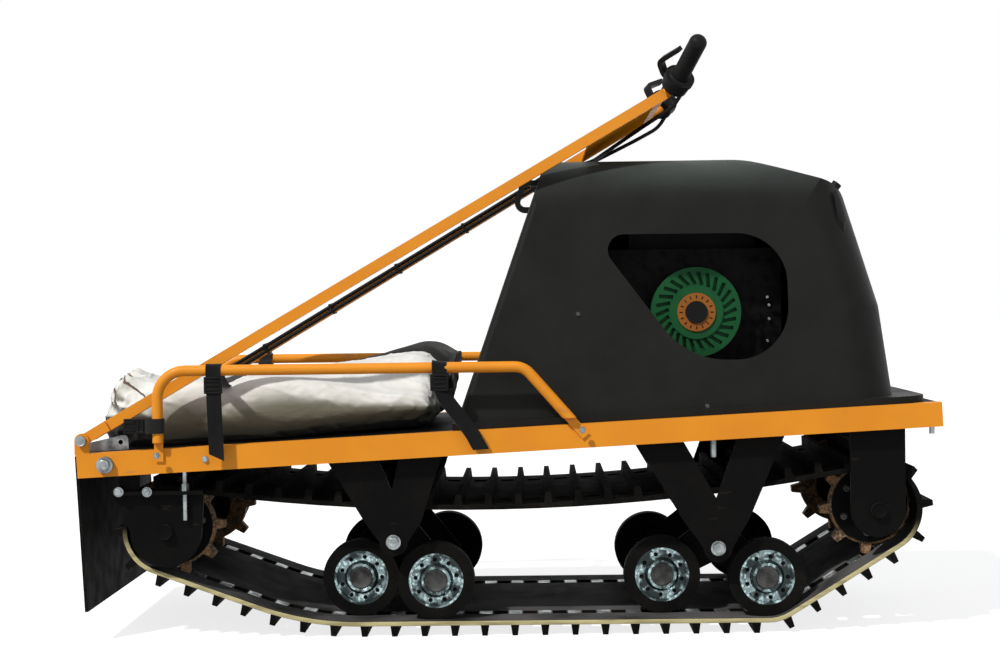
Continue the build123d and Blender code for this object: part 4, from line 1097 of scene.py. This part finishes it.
@dataclass(frozen=True)
class CargoBag(Dress):
    """The slack cargo bag on the deck, in metres.

    Args:
        tail: Rear end of the bag.
        nose: Front end of the bag.
        half_width: Half its width where it is widest.
        tail_half_width: Half its width at the rear end.
        height: Its height when full.
        cuts: Cuts of the blank along each side.
        roundness: Share of a ball in its form.
        deck_foot: Height of the deck's rear end, and its distance behind the middle.
        deck_slope: Rise of the deck towards the hood.
        strap_places: Where the straps tie it.
        voxel: Size of the even mesh.
        travel: The furthest that the air moves a point.
        lean: How far its upper left front corner leans forward.
    """

    tail: float = -0.692
    nose: float = -0.094
    half_width: float = 0.234
    tail_half_width: float = 0.198
    height: float = 0.104
    cuts: int = 30
    roundness: float = 0.34
    deck_foot: tuple[float, float] = (0.3164, 0.7056)
    deck_slope: float = 0.048734
    strap_places: tuple[float, float] = (-0.4746, -0.1025)
    voxel: float = 0.0065
    travel: float = 0.006
    lean: float = 0.024

    def deck(self, x: float) -> float:
        """Height of the deck under the bag at a place along the machine."""
        return self.deck_foot[0] + (x + self.deck_foot[1]) * self.deck_slope

    def shape(self, corner: Vector) -> Vector:
        """Where a corner of the blank cube goes.

        Args:
            corner: The corner, each coordinate from minus one to one.

        Returns:
            Its place on the bag.
        """
        x, y, z = corner
        ball = Vector([a * math.sqrt(1 - b * b / 2 - c * c / 2 + b * b * c * c / 3)
                       for a, b, c in ((x, y, z), (y, z, x), (z, x, y))])
        rear_low = ease(-x, 0.3, 1.0) * ease(-z, -0.3, 0.5)
        soft = corner.lerp(ball, self.roundness * (1 - 0.5 * rear_low))
        along = self.tail + (self.nose - self.tail) * (soft.x + 1) / 2
        lifted = ease(soft.z, -0.4, 0.7) * ease(soft.y, -0.2, 0.5)
        along += self.lean * lifted * ease(soft.x, 0.3, 1.0)
        width = self.tail_half_width
        width += (self.half_width - self.tail_half_width) * ease(along, -0.69, -0.56)
        across = soft.y * width
        near = ease(-across, 0.06, 0.20)
        front = ease(along, -0.42, -0.13)
        low = 0.022 * near * front * ease(-across, 0.10, 0.21)
        high = self.height - 0.050 * ease(-across, 0.05, 0.19) * front
        high += 0.018 * (1 - near) * ease(along, -0.40, -0.14)
        high += 0.016 * ease(soft.y, -0.1, 0.5) * ease(along, -0.26, -0.09)
        high += 0.030 * ease(-along, 0.60, 0.68) * ease(-across, -0.16, 0.06)
        for place in self.strap_places:
            high -= 0.009 * math.exp(-((along - place) / 0.022) ** 2)
        rise = low + (high - low) * (soft.z + 1) / 2
        return Vector((along, across, self.deck(along) + rise))

    def swell(self, piece: Piece) -> None:
        """Puff the bag up as cloth with a little air in it.

        Args:
            piece: The bag.
        """
        self.bench.modify(piece, "REMESH", mode="VOXEL", voxel_size=self.voxel)
        start = [corner.co.copy() for corner in piece.data.vertices]
        cloth = piece.modifiers.new("air", "CLOTH")
        cloth.settings.use_pressure = True
        cloth.settings.uniform_pressure_force = 3.5
        cloth.settings.quality = 4
        cloth.settings.tension_stiffness = 12.0
        cloth.settings.bending_stiffness = 0.2
        cloth.settings.effector_weights.gravity = 0.0
        cloth.collision_settings.use_collision = False
        scene = bpy.context.scene
        for number in range(1, 13):
            scene.frame_set(number)
        shown = piece.evaluated_get(bpy.context.evaluated_depsgraph_get())
        moved = [corner.co.copy() for corner in shown.data.vertices]
        piece.modifiers.remove(cloth)
        scene.frame_set(1)
        for corner, first, last in zip(piece.data.vertices, start, moved):
            step = last - first
            if step.length > self.travel:
                step *= self.travel / step.length
            corner.co = first + step

    def wrinkle(self, place: Vector, facing: Vector) -> float:
        """Height of the folds at a place.

        Args:
            place: The place on the bag.
            facing: The surface's direction.

        Returns:
            How far the cloth moves outwards.
        """
        x, y, z = place
        slack = 0.26 + 1.2 * ease(-x, 0.58, 0.66) + 0.2 * ease(x, -0.25, -0.10)
        wide = noise.noise(Vector((x * 9.0, y * 7.0, z * 14.0 + 3.7)))
        fold = 1.0 - abs(noise.noise(Vector((x * 17.0 + z * 20.0, y * 13.0, z * 22.0 + 8.1))))
        pull = 1.0 - abs(noise.noise(Vector((x * 38.0, y * 16.0 + 5.0, z * 12.0))))
        tie = sum(math.exp(-((x - spot) / 0.06) ** 2) for spot in self.strap_places)
        height = 0.006 * wide + 0.007 * (fold ** 6 - 0.4)
        height += 0.004 * (pull ** 8 - 0.3) * (0.6 + 0.9 * tie)
        side = 1.0 - 0.55 * ease(-y, 0.14, 0.21) * ease(x, -0.60, -0.54)
        return height * slack * side * (0.55 if facing.z < -0.5 else 1.0)

    def build(self) -> Piece:
        """Model the bag.

        Returns:
            The bag.
        """
        bag = self.bench.lump(self.cuts)
        for corner in bag.data.vertices:
            corner.co = self.shape(corner.co)
        self.swell(bag)
        self.bench.modify(bag, "SUBSURF", levels=1)
        corners = bag.data.vertices
        moves = [corner.normal * self.wrinkle(corner.co, corner.normal) for corner in corners]
        limit = self.half_width + 0.003
        for corner, move in zip(corners, moves):
            x, y, z = corner.co + move
            x = min(max(x, self.tail - 0.006), self.nose + self.lean + 0.003)
            corner.co = Vector((x, min(max(y, -limit), limit), max(z, self.deck(x) - 0.0002)))
        self.bench.finish(bag, "cargo_bag_cloth", "bag_fabric")
        self.bench.choose(bag)
        bpy.ops.object.shade_smooth()
        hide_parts("cargo_bag")
        return bag


@dataclass(frozen=True)
class BagFlap(Dress):
    """The black closing flap that lies folded on the bag's front, in metres.

    Args:
        tail: Where it starts, thin.
        nose: Where it ends, thick.
        near: Its edge towards the right side, at the tail and at the nose.
        far: Its edge towards the left side.
        thickness: Height of the fold at its thick end.
    """

    tail: float = -0.292
    nose: float = -0.088
    near: tuple[float, float] = (0.150, -0.015)
    far: float = 0.207
    thickness: float = 0.015

    def build(self, bag: Piece) -> None:
        """Model the flap on the bag's top.

        Args:
            bag: The bag that it lies on.
        """
        flap = self.bench.lump(15)
        for corner in flap.data.vertices:
            x, y, z = corner.co
            share = (x + 1) / 2
            along = self.tail + (self.nose - self.tail) * share
            near = self.near[0] + (self.near[1] - self.near[0]) * share
            across = near + (self.far - near) * (y + 1) / 2
            across += 0.014 * noise.noise(Vector((along * 22.0, y, 1.0)))
            along += 0.012 * noise.noise(Vector((across * 18.0, x, 5.0))) * (1 - x) / 2
            ground = bag_top(bag, along, across, 0.45)
            full = 0.003 + self.thickness * share ** 1.3
            full *= math.sqrt(max(1 - y ** 6, 0.0) * 0.85 + 0.15)
            fold = 0.0035 * share * noise.noise(Vector((along * 14.0, across * 60.0, 2.0)))
            corner.co = Vector((along, across, ground - 0.001 + (full + fold) * (z + 1) / 2))
        self.bench.modify(flap, "SUBSURF", levels=1)
        self.bench.finish(flap, "bag_flap", "strap_webbing")


@dataclass(frozen=True)
class Webbing(Dress):
    """The flat straps over the bag and on the rear posts, in metres.

    Args:
        width: Width of the webbing.
        thickness: Its thickness.
        outside: Distance of the outer run from the middle.
        inside: Distance of the inner run.
        crown: Height over the side rail.
        bag_edge: Distance from the middle where the straps leave the bag.
        steps: Steps over the bag.
        rear: Place of the rear strap.
        front: Place of the front strap.
        post: Place and distance from the middle of a post, and the height of its strap.
        loop: How far a post's strap runs from the post's middle.
        cam_height: Height of the cam locks.
        clip_place: Place of the clip buckles along the machine.
    """

    width: float = 0.0245
    thickness: float = 0.0019
    outside: float = 0.3093
    inside: float = 0.2887
    crown: float = 0.4622
    bag_edge: float = 0.207
    steps: int = 14
    rear: float = -0.4746
    front: float = -0.1025
    post: Triple = (-0.569, 0.299, 0.3615)
    loop: float = 0.0104
    cam_height: float = 0.4279
    clip_place: float = -0.6045

    @staticmethod
    def smooth(points: list[Vector], passes: int = 3) -> list[Vector]:
        """Ease a run of places into a soft line.

        Args:
            points: The places.
            passes: How often the corners are cut.

        Returns:
            The eased places.
        """
        for _ in range(passes):
            eased = [points[0]]
            for first, second in zip(points, points[1:]):
                eased += [first.lerp(second, 0.25), first.lerp(second, 0.75)]
            points = eased + [points[-1]]
        return points

    def ribbon(self, route: list[Vector], across: Vector, point: bool, twist: float) -> Piece:
        """One flat band along a route.

        Args:
            route: The places it passes.
            across: Direction of its width.
            point: Whether its first end is cut to a point.
            twist: Turn of its first end about its length.

        Returns:
            The band.
        """
        line = self.smooth(route)
        columns = len(line)
        band = self.bench.grid(columns - 1, 4)
        for number, corner in enumerate(band.data.vertices):
            row, column = divmod(number, columns)
            along = (line[min(column + 1, columns - 1)] - line[max(column - 1, 0)]).normalized()
            side = (across - along * across.dot(along)).normalized()
            out = along.cross(side)
            share = (row - 2) / 2
            if twist:
                turn = twist * max(0.0, 1.0 - column / (columns * 0.35))
                side = side * math.cos(turn) + out * math.sin(turn)
            place = line[column] + side * share * self.width / 2
            if point and column < 3:
                place = place - along * 0.006 * (share + 1.0) * (1 - column / 3)
            corner.co = place + out * 0.0004 * (1.0 - share * share)
        self.bench.modify(band, "SOLIDIFY", thickness=self.thickness, offset=0.0)
        return band

    def over_bag(self, bag: Piece, x: float, tail: tuple[Triple, ...], twist: float) -> Piece:
        """A strap from rail to rail over the bag.

        Args:
            bag: The bag it lies on.
            x: Its place along the machine.
            tail: The places of its loose end from its tip, measured from x.
            twist: Turn of the loose end.

        Returns:
            The strap.
        """
        inner, outer = self.inside, self.outside
        near = ((-outer, -0.012), (-outer + 0.002, 0.0002), (-inner - 0.002, 0.0002),
                (-inner, -0.014))
        far = ((inner, -0.014), (inner + 0.002, 0.0002), (outer - 0.002, 0.0002),
               (outer, -0.032))
        route = [Vector((x + along, across, rise)) for along, across, rise in tail]
        route += [Vector((x, y, self.crown + rise)) for y, rise in near]
        for number in range(self.steps + 1):
            y = -self.bag_edge + 2 * self.bag_edge * number / self.steps
            height = bag_top(bag, x, y, self.crown - 0.03)
            route.append(Vector((x, y, height + 0.0022)))
        route += [Vector((x, y, self.crown + rise)) for y, rise in far]
        return self.ribbon(route, Vector((1.0, 0.0, 0.0)), True, twist)

    def on_post(self, side: float) -> Piece:
        """The short strap round a rear post.

        Args:
            side: Minus one for the right, one for the left.

        Returns:
            The strap.
        """
        x, y, z = self.post
        half = ((-0.019, 0.005, -0.001), (-0.012, self.loop, 0.0), (0.004, self.loop, 0.0),
                (self.loop, 0.006, 0.0))
        route = [(x + a, side * (y + b), z + c) for a, b, c in half]
        route += [(x + a, side * (y - b), z + c) for a, b, c in reversed(half)]
        return self.ribbon([Vector(spot) for spot in route], Vector((0.0, 0.0, 1.0)), False, 0.0)

    def locks(self) -> None:
        """Cam locks on the outer runs and clip buckles behind the posts."""
        bench = self.bench
        body = bench.block((0.030, 0.0068, 0.028), 0.0)
        bench.inset(body, lambda face: face.normal.y < -0.9, (0.0035, 0.0), (0.0006, -0.0022))
        bench.bevel(body, 0.0011)
        bars = [bench.block((0.0225, 0.0022, 0.0032), 0.0008, (0.0, -0.0022, rise))
                for rise in (0.0075, 0.0, -0.0075)]
        cams = bench.repeat(bench.join([body, *bars]), [
            Matrix.Translation((x, -self.outside, self.cam_height))
            for x in (self.rear, self.front)])

        shell = bench.block((0.040, 0.0118, 0.0245), 0.0)
        bench.inset(shell, lambda face: abs(face.normal.y) > 0.9, (0.003, 0.0),
                    (0.0006, -0.0014), single=True)
        bench.bevel(shell, 0.0018)
        ribs = [bench.block((length, 0.0126, tall), 0.0006, (along, 0.0, rise))
                for length, tall, along, rise in (
                    (0.016, 0.004, -0.009, 0.0065), (0.016, 0.004, -0.009, -0.0065),
                    (0.0024, 0.017, 0.004, 0.0), (0.0024, 0.017, 0.012, 0.0))]
        _, across, height = self.post
        clips = bench.repeat(bench.join([shell, *ribs]), [
            Matrix.Translation((self.clip_place, side * across, height)) for side in SIDES])
        joined = bench.finish(bench.join([cams, clips]), "strap_locks", "black_plastic")
        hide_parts("strap_buckles")

    def build(self, bag: Piece) -> None:
        """Model the straps and their locks.

        Args:
            bag: The bag under them.
        """
        rear_tail = ((0.004, -0.3105, 0.3150), (0.003, -0.3100, 0.350), (0.001, -0.3093, 0.400))
        front_tail = ((0.064, -0.3060, 0.322), (0.048, -0.3080, 0.352), (0.022, -0.3085, 0.385),
                      (0.002, -0.3093, 0.412))
        pieces = [
            self.over_bag(bag, self.rear, rear_tail, 0.0),
            self.over_bag(bag, self.front, front_tail, 0.35),
            *(self.on_post(side) for side in SIDES),
        ]
        joined = self.bench.finish(self.bench.join(pieces), "bag_webbing", "strap_webbing")
        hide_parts("cargo_straps")
        self.locks()


@dataclass(frozen=True)
class HoodDress(Dress):
    """Small fittings of the hood and the starter, in metres.

    Args:
        starter: Middle of the starter, as x and z.
        tick_ring: Radius of the circle of its ribs.
        tick_count: Number of ribs on its ring.
        grip_growth: How much thicker the handle's bar is than its plain solid.
    """

    starter: tuple[float, float] = (0.332, 0.5367)
    tick_ring: float = 0.0265
    tick_count: int = 16
    grip_growth: float = 0.003

    def build(self) -> None:
        """Model the thicker handle, the starter's ribs and the knobs of the hood's catches."""
        bench = self.bench
        bench.thicken("hood_handle", "hood_grip", self.grip_growth)
        tick = bench.block((0.0055, 0.0018, 0.0016), 0.0004)
        places = []
        for number in range(self.tick_count):
            turn = number * 2 * math.pi / self.tick_count
            x = self.starter[0] + self.tick_ring * math.cos(turn)
            z = self.starter[1] + self.tick_ring * math.sin(turn)
            spot = Matrix.Translation((x, -0.1652, z))
            places.append(spot @ Matrix.Rotation(-turn, 4, "Y"))
        bench.finish(bench.repeat(tick, places), "starter_ribs", "black_plastic")

        knob = Hardware(bench).cap(0.0085, 0.008, 0.0012)
        places = []
        for side in SIDES:
            start = Vector((0.700, side * 0.150, 0.876))
            way = Vector((0.578, side * 0.150, 0.754)) - start
            places.append(on_node("engine_hood", start, way))
        bench.finish(bench.repeat(knob, places), "hood_catch_knobs", "black_plastic")


@dataclass(frozen=True)
class TillerDress(Dress):
    """Lever blades, lever housings and cable ties of the tiller, in metres.

    Args:
        pivot: Middle of the tiller's hinge, as x and z.
        angle: Rise of the tubes, in degrees.
        length: Length of the tubes.
        foot: Distance of a tube from the middle at its foot.
        head: The same at its top.
        blade_growth: How much thicker a blade is than its plain solid.
        ties: Distances of the cable ties from the hinge.
    """

    pivot: tuple[float, float] = (-0.698, 0.3377)
    angle: float = 30.24
    length: float = 1.133
    foot: float = 0.2707
    head: float = 0.175
    blade_growth: float = 0.0022
    ties: tuple[float, ...] = (0.12, 0.27, 0.42, 0.57, 0.72, 0.87)

    def on_tube(self, along: float) -> Matrix:
        """A place on the left tube's line.

        Args:
            along: Distance from the hinge.

        Returns:
            The place, with its own X up the tube and Z square to it.
        """
        rise = math.radians(self.angle)
        splay = math.atan2(self.foot - self.head, self.length)
        y = self.foot - (self.foot - self.head) * along / self.length
        place = Vector((self.pivot[0] + along * math.cos(rise), y,
                        self.pivot[1] + along * math.sin(rise)))
        turn = Matrix.Rotation(-rise, 4, "Y") @ Matrix.Rotation(-splay, 4, "Z")
        return Matrix.Translation(place) @ turn

    def build(self) -> None:
        """Model the blades, their housings and the ties round the tube and its cables."""
        bench = self.bench
        bench.thicken("control_levers", "lever_blades", self.blade_growth, Body.TILLER)

        housing = bench.cylinder(0.0235, 0.026, 28, -0.013)
        bench.inset(housing, lambda face: abs(face.normal.z) > 0.9, (0.005, 0.003),
                    (0.003, -0.001), single=True)
        bench.bevel(housing, 0.003, 3)
        places = [facing_place(Vector((0.3015, side * 0.1870, 0.9270)),
                               Vector((0.47, side * 0.64, 0.61))) for side in SIDES]
        bench.finish(bench.repeat(housing, places), "lever_housings", "black_plastic", Body.TILLER)

        band = bench.block((0.0035, 0.0272, 0.0208), 0.0, (0.0, -0.0040, 0.0))
        bench.inset(band, lambda face: abs(face.normal.x) < 0.5, (0.0005, 0.0004))
        lock = bench.block((0.0055, 0.0050, 0.0050), 0.0008, (0.0, 0.0102, 0.0085))
        ties = bench.repeat(bench.join([band, lock]), [self.on_tube(tie) for tie in self.ties])
        bench.finish(ties, "cable_ties", "black_plastic", Body.TILLER)


class Studio:
    """The plain pale room, its lamps and the camera."""

    def __init__(self) -> None:
        """Take the open scene."""
        self.scene = bpy.context.scene

    @staticmethod
    def seen_rays(tree: bpy.types.NodeTree) -> Socket:
        """One for what the camera, a reflection or a clear piece shows.

        Args:
            tree: The node tree to build in.

        Returns:
            The value.
        """
        rays = tree.nodes.new("ShaderNodeLightPath").outputs
        total = rays["Is Camera Ray"]
        for name in ("Is Glossy Ray", "Is Transmission Ray"):
            total = add_node(tree, "ShaderNodeMath", {0: total, 1: rays[name]},
                             operation="MAXIMUM").outputs["Value"]
        return total

    def blend(self, tree: bpy.types.NodeTree, hidden: Socket, seen: Socket, end: str) -> None:
        """Show one shader to the seen rays and another to the rest.

        Args:
            tree: The node tree to build in.
            hidden: The shader that lights the machine.
            seen: The shader that is seen.
            end: Name of the tree's output.
        """
        mixed = add_node(tree, "ShaderNodeMixShader",
                         {"Fac": self.seen_rays(tree), 1: hidden, 2: seen})
        feed(tree.nodes[end], {"Surface": mixed.outputs["Shader"]})

    def floor(self) -> None:
        """A wide pale floor that keeps only a faint shadow."""
        bpy.ops.mesh.primitive_plane_add(size=60.0, location=(0.0, 0.0, 0.0))
        plane = bpy.context.object
        plane.name = "studio_floor"
        graph = Graph("studio_floor", 1.0, gloss=0.0)
        feed(graph.shader, {"Base Color": (0.38, 0.38, 0.38, 1.0)})
        bare = graph.shader.outputs["BSDF"]
        pale = add_node(graph.tree, "ShaderNodeEmission",
                        {"Color": (1.0, 1.0, 1.0, 1.0), "Strength": 0.80})
        both = add_node(graph.tree, "ShaderNodeAddShader",
                        {0: bare, 1: pale.outputs["Emission"]})
        self.blend(graph.tree, bare, both.outputs["Shader"], "Material Output")
        plane.data.materials.append(graph.material)

    def world(self) -> None:
        """A white surround that lights the machine softly."""
        world = bpy.data.worlds.new("studio_world")
        world.use_nodes = True
        tree = world.node_tree
        soft = tree.nodes["Background"]
        feed(soft, {"Color": (0.93, 0.96, 1.0, 1.0), "Strength": 0.38})
        white = add_node(tree, "ShaderNodeBackground", {"Color": (1.0, 1.0, 1.0, 1.0)})
        self.blend(tree, soft.outputs["Background"], white.outputs["Background"], "World Output")
        self.scene.world = world

    def lamp(self, name: str, kind: str, place: Vector, aim: Vector,
             **settings: object) -> None:
        """A lamp that hangs somewhere and shines some way.

        Args:
            name: The lamp's name.
            kind: Its type.
            place: Where it hangs.
            aim: Direction of its light.
            settings: Its own properties.
        """
        data = bpy.data.lights.new(name, kind)
        for key, value in settings.items():
            setattr(data, key, value)
        lamp = bpy.data.objects.new(name, data)
        lamp.location = place
        lamp.rotation_euler = aim.to_track_quat("-Z", "Y").to_euler()
        self.scene.collection.objects.link(lamp)

    def camera(self) -> None:
        """The camera where the picture was taken from."""
        data = bpy.data.cameras.new("picture_camera")
        data.sensor_width = SENSOR_WIDTH
        data.lens = SENSOR_WIDTH * FOCAL_PIXELS / PHOTO_WIDTH
        right = (DEPTH_POINT[0] - PHOTO_WIDTH / 2) / FOCAL_PIXELS
        up = (PHOTO_HEIGHT / 2 - DEPTH_POINT[1]) / FOCAL_PIXELS
        level = Matrix(((1.0, 0.0, 0.0), (0.0, 0.0, 1.0), (0.0, -1.0, 0.0)))
        roll = Matrix.Rotation(PICTURE_ROLL, 3, "Z")
        turn = DOWN.rotation_difference(Vector((right, up, -1.0))).to_matrix()
        seen_from = turn @ roll @ level
        camera = bpy.data.objects.new("picture_camera", data)
        camera.matrix_world = Matrix.Translation(CAMERA_PLACE) @ seen_from.inverted().to_4x4()
        self.scene.collection.objects.link(camera)
        self.scene.camera = camera

    def build(self) -> None:
        """Set up the whole studio."""
        self.floor()
        self.world()
        self.lamp("key_sun", "SUN", Vector(), Vector((0.55, 0.62, -0.85)), energy=3.0,
                  angle=math.radians(3.0), color=(1.0, 0.97, 0.92))
        place = Vector((1.5, -4.0, 2.5))
        self.lamp("front_fill", "AREA", place, Vector((0.0, 0.0, 0.4)) - place, size=3.0,
                  energy=25.0)
        self.camera()
        self.scene.view_settings.view_transform = "Standard"


def main() -> None:
    """Build the whole picture and report the pieces."""
    logging.basicConfig(level=logging.INFO, format="%(message)s")
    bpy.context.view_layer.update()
    Studio().build()
    workshop = Workshop()
    workshop.dress_nodes()
    bench = Bench(workshop)
    for dress in (Hardware, WheelDress, TrackDress, HoodDress, TillerDress):
        dress(bench).build()
    bag = CargoBag(bench).build()
    Webbing(bench).build(bag)
    BagFlap(bench).build(bag)
    LOG.info("nodes: %d, new pieces: %d", len(frame["nodes"]), bench.count)
    for piece in bpy.context.scene.objects:
        if piece.type == "MESH" and not piece.hide_render:
            LOG.info("%s: %d faces", piece.name, len(piece.data.polygons))


if __name__ == "__main__":
    main()
